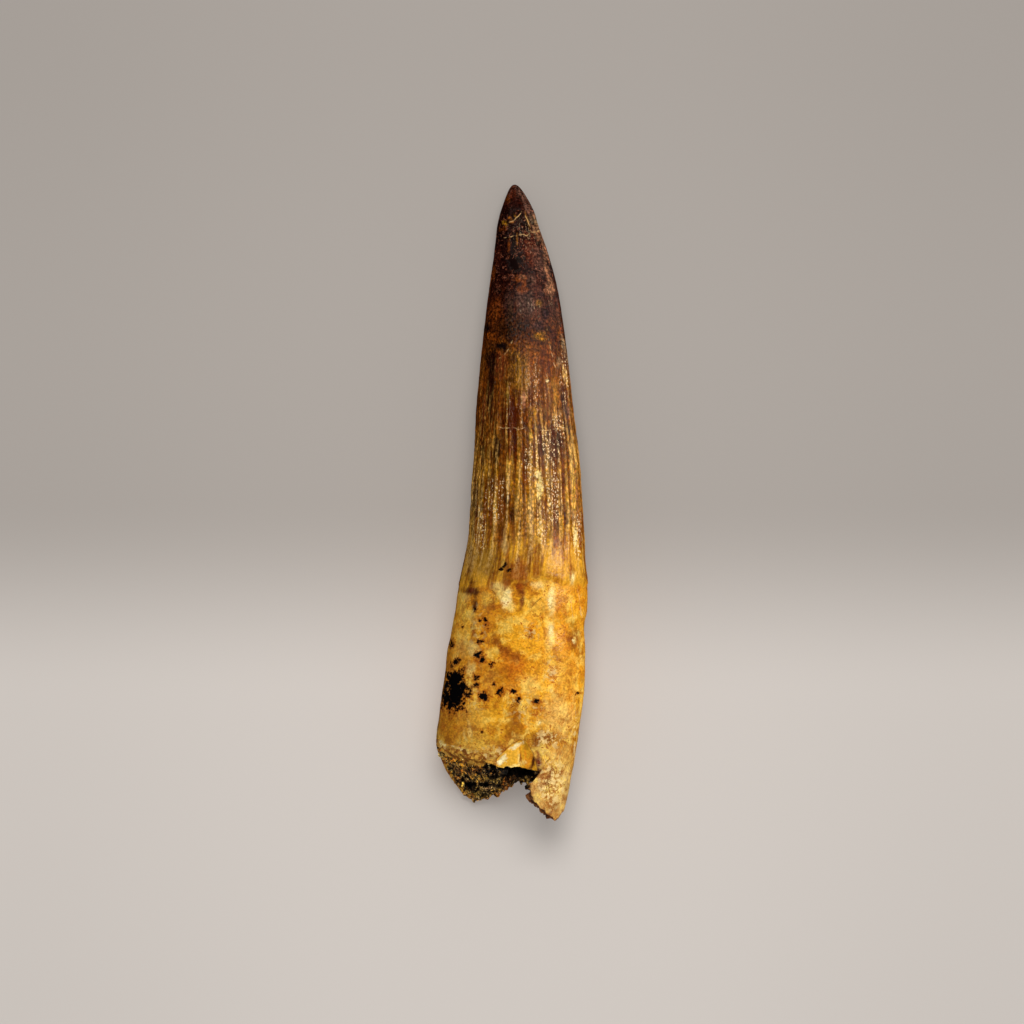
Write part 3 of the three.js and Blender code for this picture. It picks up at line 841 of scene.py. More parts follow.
# %% Marks on the root
ROOT_MARKS = [
    (-1.2, 72.0, 1.3, 1.6, 0, "cream", 0.95),
    (-2.6, 71.2, 1.0, 0.9, 0, "cream", 0.75),
    (-0.6, 74.2, 1.0, 1.2, 20, "cream", 0.8),
    (4.4, 74.6, 2.0, 2.4, -20, "straw", 0.6),
    (5.0, 70.6, 1.6, 1.0, 0, "straw", 0.7),
    (8.8, 71.2, 2.4, 1.4, 0, "amber", 0.85),
    (10.8, 69.4, 0.5, 1.2, 0, "cream", 0.8),
    (12.2, 72.6, 0.5, 1.6, 0, "amber", 0.8),
    (-7.2, 72.0, 1.9, 0.8, -5, "umber", 1.0),
    (-6.5, 74.6, 0.45, 1.8, -6, "umber", 0.95),
    (-6.9, 71.6, 0.6, 0.6, 0, "red brown", 0.8),
    (-3.2, 73.8, 0.35, 1.6, 0, "rust", 0.7),
    (1.6, 71.0, 0.9, 1.6, 0, "rust", 0.95),
    (1.9, 73.4, 0.5, 1.9, 0, "red brown", 0.9),
    (2.3, 70.6, 1.4, 1.0, 0, "rust", 0.6),
    (-4.3, 73.6, 1.1, 1.6, 0, "straw", 0.8),
    (-8.4, 75.0, 0.9, 2.4, 0, "straw", 0.7),
    (-8.2, 80.0, 1.8, 4.0, 0, "straw", 0.4),
    (-0.9, 73.2, 0.9, 1.3, -20, "ivory", 0.7),
    # Here and below, the ivory and cream marks about 7 mm right of the middle, 71 to 82 mm from the tip,
    # paint the bright line that the key softbox draws down the root: a painted highlight.
    (7.1, 73.6, 0.5, 2.4, 0, "ivory", 0.8),
    (7.0, 79.0, 0.45, 1.6, 0, "ivory", 0.5),
    (-6.8, 82.2, 0.6, 0.9, 20, "ivory", 0.6),
    (4.6, 70.8, 1.2, 0.8, 0, "ivory", 0.4),
    (-8.0, 73.0, 0.8, 0.8, 0, "bone", 0.6),
    (7.0, 73.6, 0.8, 2.6, 0, "cream", 0.8),
    (6.7, 79.4, 0.8, 3.0, 0, "cream", 0.5),
    (6.6, 84.6, 1.2, 2.4, 0, "straw", 0.5),
    (5.2, 76.4, 0.5, 0.5, 0, "orange", 0.8),
    (11.2, 80.2, 1.3, 2.0, 0, "red brown", 0.75),
    (10.6, 77.6, 0.9, 1.4, 30, "ochre", 0.7),
    (12.2, 83.0, 0.7, 1.6, 0, "rust", 0.55),
    (11.2, 80.6, 0.35, 0.6, 0, "cream", 0.7),
    (3.3, 79.3, 0.7, 0.9, 15, "rust", 0.9),
    (3.0, 77.6, 1.8, 1.6, 0, "orange", 0.4),
    (-2.6, 80.6, 0.8, 1.4, 30, "rust", 0.8),
    (-1.2, 82.6, 1.0, 1.9, 40, "rust", 0.9),
    (0.0, 84.8, 2.6, 2.2, 20, "orange", 0.85),
    (0.8, 83.2, 0.8, 1.0, 0, "rust", 0.7),
    (0.6, 88.6, 2.4, 2.0, 0, "orange", 0.5),
    (-4.2, 84.0, 1.5, 1.2, 0, "amber", 0.7),
    (-6.7, 78.4, 0.4, 1.8, 0, "rust", 0.9),
    (-6.9, 80.6, 0.5, 0.9, 0, "rust", 0.6),
    (-6.6, 82.2, 0.9, 1.3, 20, "cream", 0.9),
    (-7.2, 85.4, 0.8, 1.4, 0, "cream", 0.7),
    (-8.6, 81.6, 1.0, 2.2, 0, "bone", 0.6),
    (-7.4, 88.6, 0.6, 1.6, 10, "straw", 0.6),
    (-1.6, 78.4, 2.2, 2.2, 0, "gold", 0.6),
    (-2.2, 86.6, 2.4, 2.4, 0, "ochre", 0.4),
    (3.6, 88.4, 1.6, 2.0, 0, "bone", 0.5),
    (9.4, 86.6, 1.8, 4.2, 8, "straw", 0.6),
    (7.2, 86.0, 0.6, 1.2, 10, "pink tan", 0.55),
    (0.6, 91.6, 1.0, 1.5, 0, "brown", 0.45),
    (4.2, 91.0, 0.8, 0.7, 0, "brown", 0.6),
    (0.3, 94.6, 1.5, 3.6, -8, "rust", 0.5),
    (0.6, 97.2, 2.4, 1.0, 10, "rust", 0.5),
    (-1.8, 99.2, 1.2, 0.9, 40, "rust", 0.5),
    (4.0, 98.0, 0.8, 1.4, -10, "brown", 0.6),
    (2.6, 95.4, 0.9, 1.0, 0, "orange", 0.6),
    (8.6, 94.2, 2.9, 3.8, 0, "bone", 0.55),
    (10.6, 91.0, 0.7, 2.4, 6, "orange", 0.5),
    (4.9, 94.9, 0.6, 0.5, 0, "cream", 0.8),
    (6.4, 97.6, 1.8, 1.3, 20, "brown", 0.65),
    (9.4, 97.6, 1.5, 0.9, 0, "rust", 0.5),
    (4.6, 98.8, 0.8, 1.4, 0, "brown", 0.7),
    (-10.6, 94.0, 1.4, 2.4, 0, "gold", 0.45),
    (-6.4, 95.0, 2.6, 3.6, 0, "straw", 0.5),
    (7.8, 93.6, 2.6, 4.0, 6, "cream", 0.3),
    (-7.3, 96.2, 0.35, 1.9, 8, "cream", 0.75),
    (-8.1, 97.2, 0.3, 1.3, 8, "cream", 0.6),
    (-5.1, 96.5, 0.28, 0.28, 0, "umber", 0.8),
    (-12.3, 98.9, 0.6, 0.8, 0, "cream", 0.85),
    (-9.6, 99.6, 1.6, 0.5, -12, "cream", 0.75),
    (-8.6, 100.4, 0.5, 0.8, 0, "cream", 0.8),
    (-5.6, 98.4, 3.4, 1.3, 0, "straw", 0.4),
    (-3.4, 101.2, 1.6, 0.8, -30, "brown", 0.5),
    # The red brown and black maroon marks at 4.8 mm across, 102 to 104 mm from the tip, paint the shade
    # in the groove down the flake scar's right edge: painted shadow.
    (4.9, 102.2, 0.55, 2.0, 10, "red brown", 1.0),
    (4.8, 103.4, 0.5, 0.9, 10, "black maroon", 0.8),
    (5.2, 100.4, 0.35, 1.2, 30, "red brown", 0.8),
    (6.0, 101.2, 0.5, 1.6, 25, "straw", 0.8),
    (5.4, 104.8, 0.9, 1.2, 20, "rust", 0.5),
    (8.6, 100.4, 1.8, 1.6, 20, "bone", 0.6),
    (8.8, 106.5, 1.6, 3.6, 0, "cream", 0.3),
    (7.2, 103.6, 0.6, 1.0, 0, "brown", 0.5),
    (6.6, 107.6, 1.0, 1.2, 10, "ochre", 0.5),
    (9.4, 108.6, 0.7, 0.8, 0, "rust", 0.5),
    (5.6, 106.4, 0.9, 0.7, 0, "brown", 0.5),
    (7.6, 109.6, 0.8, 0.6, 0, "brown", 0.5),
    (8.6, 103.4, 0.7, 0.9, 20, "rust", 0.45),
    (6.4, 105.4, 0.5, 0.8, 20, "umber", 0.6),
    (9.6, 106.0, 0.6, 1.2, 0, "brown", 0.45),
    (6.8, 104.4, 0.5, 0.6, 0, "brown", 0.5),
    (2.7, 106.2, 0.8, 0.7, 0, "soot", 1.0),
    (3.6, 108.2, 0.6, 0.5, 30, "umber", 0.7),
    (6.8, 111.0, 1.2, 0.5, 45, "rust", 0.7),
    (-12.8, 92.0, 0.4, 6.5, -4, "olive", 0.6),
]
FACET_MARKS = [
    (0.8, 98.9, 0.3, 1.7, -66, "ivory", 0.8),
    (1.6, 100.8, 0.2, 1.6, 0, "rust", 0.8),
    (1.2, 100.9, 0.2, 1.4, 0, "cream", 0.8),
    (2.5, 101.0, 0.16, 1.6, 0, "orange", 0.7),
    (3.3, 101.3, 0.5, 1.8, -22, "orange", 0.6),
    # The umber mark along the scar's right edge is a painted shadow under that edge.
    (4.0, 101.3, 0.42, 1.7, -22, "umber", 1.0),
    (0.4, 102.5, 2.2, 0.25, 14, "cream", 0.8),
    (-1.6, 101.3, 0.42, 1.3, -46, "ivory", 1.0),
    (-2.2, 102.0, 0.5, 0.4, 0, "ivory", 1.0),
]

# A mark ends at this share of its half-width, with a soft edge on both sides of it.
MARK_EDGE = 0.87


def shake(places, seed):
    across_by = 0.24 * soft_noise(places, 1.4, seed) + 0.14 * soft_noise(places, 0.6, seed + 1)
    along_by = 0.35 * soft_noise(places, 1.6, seed + 2) + 0.2 * soft_noise(places, 0.6, seed + 3)
    edge_by = 0.30 * soft_noise(places, 0.9, seed + 4) + 0.34 * soft_noise(places, 0.42, seed + 5)
    return across_by, along_by, edge_by


def paint_marks(tone, marks, x, from_tip, mask, shaken, softness=0.5):
    across_by, along_by, edge_by = shaken
    for mark_x, mark_y, half_wide, half_long, lean, pigment, strength in marks:
        side = math.cos(math.radians(lean))
        down = math.sin(math.radians(lean))
        off_x = x + across_by - mark_x
        off_y = from_tip + along_by - mark_y
        reach_x = (off_x * side - off_y * down) / half_wide
        reach_y = (off_x * down + off_y * side) / half_long
        away = np.hypot(reach_x, reach_y) + edge_by
        inside = 1 - smoothstep(away, MARK_EDGE - softness / 2, MARK_EDGE + softness / 2)
        weight = strength * mask * inside
        tone += weight[:, None] * (paints[pigment] - tone)


facing_up = smoothstep(upward, -0.35, -0.05)
facing_down = 1 - facing_up
shaken = shake(points, 11)
for marks, softness in ((TIP_MARKS, 0.75), (CROWN_MARKS, 0.6), (ROOT_MARKS, 1.1)):
    paint_marks(tone, marks, x, from_tip, facing_up, shaken, softness)

# The flake scar shows clean amber dentine with ivory chips along its upper left edge. Its colour is
# kept apart, so that the material can cut a crisp edge between the scar and the skin.
streak = smoothstep(skin_noise(points, 0.12, 0.8, seed=33), -0.3, 0.3)[:, None]
scar_tone = mix(paints["amber"], paints["gold"], streak)
scar_tone = mix(scar_tone, paints["straw"], 0.3 * smoothstep(x, 1.6, 1.2)[:, None])
paint_marks(scar_tone, FACET_MARKS, x, from_tip, facing_up, shaken)
print(len(ROOT_MARKS), "marks on the root")

# %% [markdown]
# ## Marks on the underside
#
# The side that lies on the table is coloured in the same way, with marks of its own. Their places are
# drawn at random from a fixed seed, and each part of the tooth has its own choice of pigments.

# %% Paint the underside
# Each row: how many marks, their range along and across the tooth, half-widths, half-lengths, pigments.
UNDERSIDE = [
    (40, (1, 26), (-4, 7), (0.4, 1.3), (0.6, 3.0),
     ["maroon", "red brown", "violet grey", "soot", "rust"]),
    (70, (26, 69), (-6.5, 11), (0.25, 0.8), (1.0, 5.0),
     ["umber", "brown", "ochre", "gold", "straw", "olive"]),
    (80, (72, 104), (-12, 11.5), (0.5, 2.0), (0.6, 2.4),
     ["rust", "straw", "cream", "orange", "ochre", "brown"]),
]
dice = random.Random(7)
hidden_marks = []
for count, along_range, across_range, widths, lengths, pigments in UNDERSIDE:
    for _ in range(count):
        place = (dice.uniform(*across_range), dice.uniform(*along_range))
        size = (dice.uniform(*widths), dice.uniform(*lengths))
        mark = (*place, *size, dice.uniform(-12, 12), dice.choice(pigments), dice.uniform(0.35, 0.8))
        hidden_marks.append(mark)
paint_marks(tone, hidden_marks, x, from_tip, facing_down, shaken)
print(len(hidden_marks), "marks on the underside")

# %% [markdown]
# ## Black stains, pale chips and fine lines
#
# Manganese grows in black specks with crisp, branching edges, and thin flakes of enamel have chipped
# off in pale spots. Both are finer than the mesh, so they can't be painted point by point. Each is
# stored as a soft hill instead, and the material cuts the hill at a level that noise shakes, which
# gives a sharp edge. Where specks have grown together, a second, lower hill is added to fill the gaps.
# Worn enamel and pitted root are stored as soft regions. A crack is stored as the signed distance from
# Regions of painted glints on the enamel and of pitted root are stored as soft regions. A crack is
# stored as the signed distance from its line: that distance is exact between the mesh's points, so the
# line stays thin and even.

# %% Hills for stains and chips
# Each row: the middle (across, from the tip), the half-width and the half-length.
STAINS = [
    (-4.5, 76.9, 0.55, 0.8), (-5.5, 77.1, 0.28, 0.28), (-4.1, 78.3, 0.25, 0.25),
    (-5.3, 79.2, 0.32, 0.32), (-8.6, 78.0, 0.38, 0.3), (-5.1, 80.6, 0.7, 0.5),
    (-10.5, 81.0, 0.55, 0.7), (-5.6, 82.9, 0.9, 0.7), (-5.2, 83.9, 0.6, 0.7),
    (-9.5, 84.3, 0.6, 0.6), (-3.4, 84.6, 0.42, 0.5), (-9.9, 87.2, 2.1, 2.2),
    (-9.5, 89.2, 2.3, 2.3), (-10.3, 90.6, 2.1, 2.4), (-11.7, 90.8, 0.9, 2.0),
    (-6.3, 86.8, 0.6, 0.8), (-6.1, 88.2, 0.6, 0.8), (-4.8, 90.1, 0.8, 0.9),
    (-2.9, 88.2, 0.4, 0.4), (-1.9, 89.5, 0.6, 0.9), (0.1, 89.4, 0.7, 0.45),
    (1.2, 90.9, 0.5, 0.7), (4.5, 91.1, 0.7, 0.4), (-1.8, 68.0, 0.6, 0.5),
    (-0.4, 68.2, 0.55, 0.45), (-1.1, 67.2, 0.4, 0.6), (-5.1, 96.5, 0.25, 0.25),
    (-1.6, 28.8, 0.8, 0.5), (0.5, 14.2, 1.0, 1.8), (-6.3, 75.0, 0.3, 0.3),
    (11.8, 89.8, 0.5, 0.25), (6.2, 22.9, 0.5, 0.5), (-4.3, 25.7, 0.4, 0.5),
    (2.7, 106.2, 0.7, 0.6),
]
DENSE_STAINS = [(-10.0, 88.2, 1.1, 1.2), (-9.8, 90.2, 0.8, 0.8)]
CHIPS = [
    (6.3, 35.0, 0.4, 0.4), (4.7, 51.4, 0.8, 1.0), (5.0, 53.4, 0.75, 1.9), (11.3, 62.2, 0.4, 2.2),
    (10.8, 69.6, 0.35, 1.0), (-1.3, 101.2, 0.6, 0.8), (-12.5, 98.7, 0.5, 0.6),
    (-8.6, 99.7, 0.9, 0.4), (12.0, 99.2, 0.4, 1.2), (1.2, 98.6, 0.9, 0.3),
    (-10.6, 99.2, 0.6, 0.4), (-8.8, 100.4, 0.4, 0.6), (-7.6, 100.4, 0.5, 0.5),
    # The chips at 6.8 mm across, 73 and 79 mm from the tip, are glints in the root's bright line: a
    # painted highlight.
    (-11.7, 98.9, 0.5, 0.3), (6.8, 73.4, 0.6, 1.6), (6.9, 78.6, 0.5, 1.2), (10.9, 80.6, 0.35, 0.5),
    (4.9, 94.9, 0.45, 0.4),
]

# Regions where small pale flecks along the enamel's ridges paint the glints of the key light: a
# painted highlight. A region's row ends with its strength.
GLINT_REGIONS = [
    (6.4, 47.6, 2.6, 4.6, 0.7), (3.2, 49.6, 1.6, 4.0, 0.6), (7.4, 55.4, 1.8, 5.0, 0.7),
    (5.4, 59.6, 1.2, 4.4, 0.6), (-2.6, 55.6, 2.6, 4.6, 0.45), (0.6, 41.0, 2.0, 6.0, 0.25),
    (4.6, 36.0, 3.0, 6.0, 0.2), (9.4, 34.0, 1.0, 5.6, 0.6), (8.2, 44.0, 1.6, 4.0, 0.4),
    (6.6, 20.4, 1.8, 3.2, 0.16), (3.4, 22.6, 3.0, 3.0, 0.15), (2.4, 9.6, 3.4, 6.0, 0.15),
    (-5.4, 61.0, 1.4, 5.0, 0.45), (11.6, 62.0, 1.2, 5.0, 0.4),
]

# Regions of the root that are pitted, with dirt in the pits.
PITTED = [
    (6.6, 97.8, 3.4, 2.2, 0.8), (7.2, 105.6, 3.2, 5.4, 1.0), (2.6, 92.0, 4.0, 3.0, 0.5),
    (-6.4, 91.0, 3.0, 2.0, 0.5), (-3.4, 100.4, 4.0, 1.6, 0.8), (7.0, 86.4, 1.4, 4.0, 0.6),
    (-6.0, 79.0, 2.0, 6.0, 0.4), (3.4, 79.0, 1.6, 2.4, 0.6), (11.4, 98.0, 1.0, 6.0, 0.8),
]


def hills(spots, x, from_tip):
    height = np.zeros(len(x))
    for spot_x, spot_y, half_wide, half_long in spots:
        away = np.hypot((x - spot_x) / half_wide, (from_tip - spot_y) / half_long)
        height = np.maximum(height, 1 - away / 2)
    return height


def scattered(count, across_range, along_range, sizes, seed):
    dice = random.Random(seed)
    spots = []
    for _ in range(count):
        size = dice.uniform(*sizes)
        place = (dice.uniform(*across_range), dice.uniform(*along_range))
        spots.append((*place, size, size * dice.uniform(0.7, 1.6)))
    return spots


def regions(areas, x, from_tip):
    most = np.zeros(len(x))
    for area_x, area_y, half_wide, half_long, strength in areas:
        away = np.hypot((x - area_x) / half_wide, (from_tip - area_y) / half_long)
        most = np.maximum(most, strength * (1 - smoothstep(away, 0.3, 1.3)))
    return most


stain = facing_up * hills(STAINS, x, from_tip)
stain += 0.3 * facing_up * hills(DENSE_STAINS, x, from_tip)
stains_below = scattered(46, (-11, 11), (72, 100), (0.25, 0.9), seed=3)
stains_below += scattered(14, (-5, 9), (10, 66), (0.25, 0.6), seed=4)
stain += facing_down * hills(stains_below, x, from_tip)
chips_below = scattered(40, (-6, 11), (24, 70), (0.2, 0.45), seed=5)
chip = facing_up * hills(CHIPS, x, from_tip) + facing_down * hills(chips_below, x, from_tip)
painted_glints = facing_up * regions(GLINT_REGIONS, x, from_tip)
painted_glints += 0.3 * facing_down * smoothstep(from_tip, 4, 12) * (1 - smoothstep(from_tip, 62, 70))
pitted = regions(PITTED, x, from_tip)
print("stained points:", int((stain > 0.5).sum()), "chipped points:", int((chip > 0.5).sum()))

# %% Distances from the fine lines
# Each row is one line, as places (across, from the tip).
PALE_LINES = [
    [(1.4, 9.1), (2.05, 9.0), (2.7, 9.2), (3.35, 8.65), (4.05, 8.65), (4.8, 8.3), (5.3, 8.3)],
    [(-0.95, 9.6), (-0.4, 9.45), (0.2, 9.25)],
    [(2.5, 5.5), (2.9, 6.4), (3.3, 7.5)],
    [(-0.3, 6.9), (0.7, 6.2), (1.5, 5.3)],
    [(0.1, 27.9), (-0.5, 29.5), (-1.9, 30.9)],
    [(6.35, 25.9), (6.7, 28.5), (7.6, 32.4)],
    [(-2.0, 43.1), (-0.9, 43.2), (0.6, 43.1), (1.3, 43.5), (2.1, 43.3)],
    [(4.4, 43.6), (5.6, 43.8), (7.3, 43.4)],
    [(10.5, 73.4), (10.6, 75.0), (10.9, 76.4)],
    [(11.7, 71.8), (12.0, 74.0), (12.4, 76.6)],
    [(5.5, 99.9), (6.1, 101.6), (6.7, 103.0)],
    [(11.6, 97.2), (11.5, 99.2)],
    [(-12.8, 98.6), (-11.0, 99.8), (-9.2, 99.2), (-8.2, 100.6)],
]
DARK_LINES = [
    [(5.0, 73.2), (4.2, 73.8), (3.6, 74.8), (2.9, 75.3)],
    [(6.0, 73.8), (5.4, 75.0), (5.0, 76.0), (5.5, 77.0)],
    [(-5.6, 71.6), (-3.9, 71.4), (-2.9, 72.2), (-2.7, 73.6), (-3.2, 75.4)],
    [(6.4, 101.4), (5.2, 103.2), (4.8, 104.2)],
    [(-13.2, 97.3), (-12.7, 99.6), (-11.8, 102.6)],
    [(11.3, 90.1), (12.2, 89.3)],
    [(8.6, 62.6), (9.6, 66.0), (10.2, 69.0)],
    [(-3.2, 60.1), (-3.0, 64.4), (-3.3, 68.6)],
    [(-2.4, 58.0), (-2.2, 62.0), (-2.5, 66.0)],
    [(7.9, 28.0), (8.3, 30.6), (8.8, 33.6)],
]
FAR_FROM_LINE = 9.0


def distance_from_lines(lines, x, from_tip):
    side = np.full(len(x), FAR_FROM_LINE)
    for line in lines:
        for (x0, y0), (x1, y1) in zip(line, line[1:]):
            run_x, run_y = x1 - x0, y1 - y0
            length = math.hypot(run_x, run_y)
            share = np.clip(((x - x0) * run_x + (from_tip - y0) * run_y) / length**2, 0, 1)
            off_x, off_y = x - x0 - share * run_x, from_tip - y0 - share * run_y
            away = np.hypot(off_x, off_y)
            signed = (off_x * run_y - off_y * run_x) / length
            past_end = (share == 0) | (share == 1)
            signed = np.where(past_end, np.where(signed < 0, -away, away), signed)
            side = np.where(away < np.abs(side), signed, side)
    return side


shaken_x = x + 0.7 * shaken[0]
shaken_y = from_tip + 0.6 * shaken[1]
unbroken = smoothstep(soft_noise(points, 0.7, seed=21) + 0.6 * shaken[2], -0.3, 0.15)
pale_side = distance_from_lines(PALE_LINES, shaken_x, shaken_y)
dark_side = distance_from_lines(DARK_LINES, shaken_x, shaken_y)
pale_near = facing_up * unbroken * (1 - smoothstep(np.abs(pale_side), 0.3, 0.6))
dark_near = facing_up * unbroken * (1 - smoothstep(np.abs(dark_side), 0.3, 0.6))

# The scar's side is positive inside the scar.
scar_side = -distance_from_lines([SCAR_EDGE], x + 0.4 * shaken[0], from_tip)
scar_side = np.minimum(scar_side, SCAR_END - from_tip)
scar_side = np.clip(scar_side, -1, 1) * facing_up - facing_down
print("points beside a line:", int(((pale_near > 0) | (dark_near > 0)).sum()))

# %% [markdown]
# ## Where the tooth is broken
#
# A point belongs to a break if it lies well below the outer skin, or if the surface there doesn't
# face outwards. Breaks show the dentine inside, which is redder, darker and has no gloss, and deep
# inside it is black. On the left the last two millimetres before the rim have crumbled too, and have
# sand pressed into them. The valleys between the flutes are kept as well, so that the material can
# darken them as painted shade.

# %% Find the breaks
outward = np.stack([across / half_width, 0 * across, upward / half_thick], -1)
outward /= np.linalg.norm(outward, axis=1)[:, None] + NOT_ZERO
facing_out = (normals * outward).sum(axis=1)
radius = (np.abs(across) ** squareness + np.abs(upward) ** squareness) ** (1 / squareness)
depth = (1 - radius) * np.minimum(half_width, half_thick)
near_end = smoothstep(from_tip, 97, 98)
broken = near_end * np.maximum(smoothstep(depth, 0.9, 1.3), 1 - smoothstep(facing_out, 0.35, 0.6))
deep = near_end * smoothstep(depth, 1.4, 2.2)
before_rim = rim_from_tip(turn) - from_tip
crumbled = 1 - smoothstep(before_rim + 1.3 * wander + 1.0 * fray, 0.2, 1.7)
crumbled = crumbled * smoothstep(turn, 92, 108) * near_end
break_tone = mix(paints["olive"], paints["red brown"], smoothstep(x, -2, 3)[:, None])
tone += broken[:, None] * (break_tone - tone) * 0.9
tone += deep[:, None] * (paints["soot"] - tone) * 0.95
fluted = (1 - on_root) * smoothstep(from_tip, 24, 48) * (1 - 0.8 * smoothstep(from_tip, 60, 71))
patchy = smoothstep(skin_noise(skin, 0.12, 2.8, seed=27), -0.4, 0.3)
flute_shade = fluted * flute_valleys(skin, turn) * (0.35 + 0.65 * patchy)
print("broken points:", int((broken > 0.5).sum()))


# %% Store the paint on the mesh
def store(mesh, name, values, kind="FLOAT", field="value"):
    attribute = mesh.attributes.new(name, kind, "POINT")
    attribute.data.foreach_set(field, np.asarray(values, np.float32).ravel())


def store_colours(mesh, name, values):
    attribute = mesh.color_attributes.new(name, "FLOAT_COLOR", "POINT")
    with_alpha = np.concatenate([np.clip(values, 0, 1), np.ones((len(values), 1))], axis=1)
    attribute.data.foreach_set("color", np.asarray(with_alpha, np.float32).ravel())


store_colours(tooth.data, "tone", tone)
store_colours(tooth.data, "scar tone", scar_tone)
store(tooth.data, "skin", skin, "FLOAT_VECTOR", "vector")
for name, values in {
    "stain": stain, "chip": chip, "pale side": pale_side, "pale near": pale_near,
    "dark side": dark_side, "dark near": dark_near, "root": on_root, "broken": broken,
    "flute_shade": flute_shade, "painted_glints": painted_glints, "crumbled": crumbled, "pitted": pitted,
    "scar side": scar_side,
}.items():
    store(tooth.data, name, values)
print("stored:", [kept.name for kept in tooth.data.attributes if not kept.name.startswith(".")])

# %% [markdown]
# ## Building materials from nodes
#
# A material is a small network of nodes. Here a `Recipe` is one material, and a `Signal` is what comes
# out of one of its nodes. Signals can be added and multiplied like numbers, and each sum adds a Math
# node to the network. So the recipes below read from the paint to the finished surface.

# %% Helpers for nodes
# In a Mix node the two colours are sockets 6 and 7, and the mixed colour is output 2.
MIX_FIRST = 6
MIX_SECOND = 7
MIX_RESULT = 2
BUMP_STRENGTH = 0.9


class Recipe:
    def __init__(self, name):
        self.material = bpy.data.materials.new(name)
        self.material.use_nodes = True
        self.tree = self.material.node_tree
        self.shader = self.tree.nodes["Principled BSDF"]

    def plug(self, node, inputs):
        for key, value in inputs.items():
            socket = node.inputs[key]
            if isinstance(value, Signal):
                self.tree.links.new(value.socket, socket)
            elif socket.type == "RGBA":
                socket.default_value = (*value, 1)
            else:
                socket.default_value = value

    def add(self, kind, inputs, output, **settings):
        node = self.tree.nodes.new(kind)
        for key, value in settings.items():
            setattr(node, key, value)
        self.plug(node, inputs)
        return Signal(self, node.outputs[output])

    def painted(self, name, output="Fac"):
        return self.add("ShaderNodeAttribute", {}, output, attribute_name=name)

    def object_place(self):
        return self.add("ShaderNodeTexCoord", {}, "Object")

    def math(self, operation, first, second=0.0, clamp=False):
        inputs = {0: first, 1: second}
        return self.add("ShaderNodeMath", inputs, 0, operation=operation, use_clamp=clamp)

    def mix(self, share, first, second, mode="MIX"):
        inputs = {"Factor": share, MIX_FIRST: first, MIX_SECOND: second}
        return self.add("ShaderNodeMix", inputs, MIX_RESULT, data_type="RGBA", blend_type=mode)


class Signal:
    def __init__(self, recipe, socket):
        self.recipe = recipe
        self.socket = socket

    def __add__(self, other):
        return self.recipe.math("ADD", self, other)

    def __sub__(self, other):
        return self.recipe.math("SUBTRACT", self, other)

    def __rsub__(self, other):
        return self.recipe.math("SUBTRACT", other, self)

    def __mul__(self, other):
        return self.recipe.math("MULTIPLY", self, other)

    def __abs__(self):
        return self.recipe.math("ABSOLUTE", self)

    def at_least(self, other):
        return self.recipe.math("MAXIMUM", self, other)

    # A soft step from bottom to top while this signal goes from low to high.
    def step(self, low, high, bottom=0.0, top=1.0):
        inputs = {"Value": self, "From Min": low, "From Max": high, "To Min": bottom, "To Max": top}
        return self.recipe.add("ShaderNodeMapRange", inputs, "Result", interpolation_type="SMOOTHSTEP")

    # Thin threads, which run where a noise crosses one half.
    def threads(self, outside, inside):
        return abs(self - 0.5).step(outside, inside)

    # The other paint laid over this one, as thickly as share says.
    def blend(self, share, other, mode="MIX"):
        return self.recipe.mix(share, self, other, mode)

    def lit(self, strength):
        inputs = {"Vector": self, "Scale": strength}
        return self.recipe.add("ShaderNodeVectorMath", inputs, "Vector", operation="SCALE")

    def part(self, axis):
        return self.recipe.add("ShaderNodeSeparateXYZ", {"Vector": self}, axis)

    # A pattern on a place that is squeezed along the tooth is itself stretched along it.
    def squeezed(self, along):
        inputs = {"Vector": self, "Scale": (1, along, 1)}
        return self.recipe.add("ShaderNodeMapping", inputs, "Vector")

    def noise(self, scale, detail=3.0, roughness=0.55, output="Fac"):
        inputs = {"Vector": self, "Scale": scale, "Detail": detail, "Roughness": roughness}
        return self.recipe.add("ShaderNodeTexNoise", inputs, output)

    def bent(self, scale, amount):
        inputs = {0: self.noise(scale, 2.0, output="Color"), 1: (amount, amount, amount), 2: self}
        return self.recipe.add("ShaderNodeVectorMath", inputs, "Vector", operation="MULTIPLY_ADD")

    def cells(self, scale, output="Distance"):
        inputs = {"Vector": self, "Scale": scale}
        return self.recipe.add("ShaderNodeTexVoronoi", inputs, output, feature="F1")

    # One random number from 0 to 1 for each cell.
    def cell_dice(self, scale, channel="Red"):
        inputs = {"Color": self.cells(scale, "Color")}
        return self.recipe.add("ShaderNodeSeparateColor", inputs, channel)

    def bumped(self, depth):
        inputs = {"Strength": BUMP_STRENGTH, "Distance": depth, "Height": self}
        return self.recipe.add("ShaderNodeBump", inputs, "Normal")


print("helpers ready")

# %% [markdown]
# ## The fossil's finish
#
# The paint gives the broad colours, and noise at four sizes gives the rest: clouds, mottle, curds and
# grain. The noise of a stain is never straight, so its places are first bent by another noise. A glaze
# is the paint made darker, and a wash is the paint mixed with a pale one. The root gets olive, brown
# and cream mottling, rusty veins and wrinkles, and specks in its pits.

# %% Mottle the root
fossil = Recipe("fossil enamel and root")
paint = fossil.painted("tone", "Color")
skin_place = fossil.painted("skin", "Vector")
object_place = fossil.object_place()
bent_place = object_place.bent(420, 1.5 * MM)
root = fossil.painted("root")
crown = fossil.math("SUBTRACT", 1.0, root, clamp=True)
in_pits = fossil.painted("pitted")

clouds = bent_place.noise(150)
mottle = bent_place.noise(430, 5.0, 0.6)
curds = bent_place.noise(1150, 3.0, 0.6)
grain = object_place.noise(2500, 2.0)

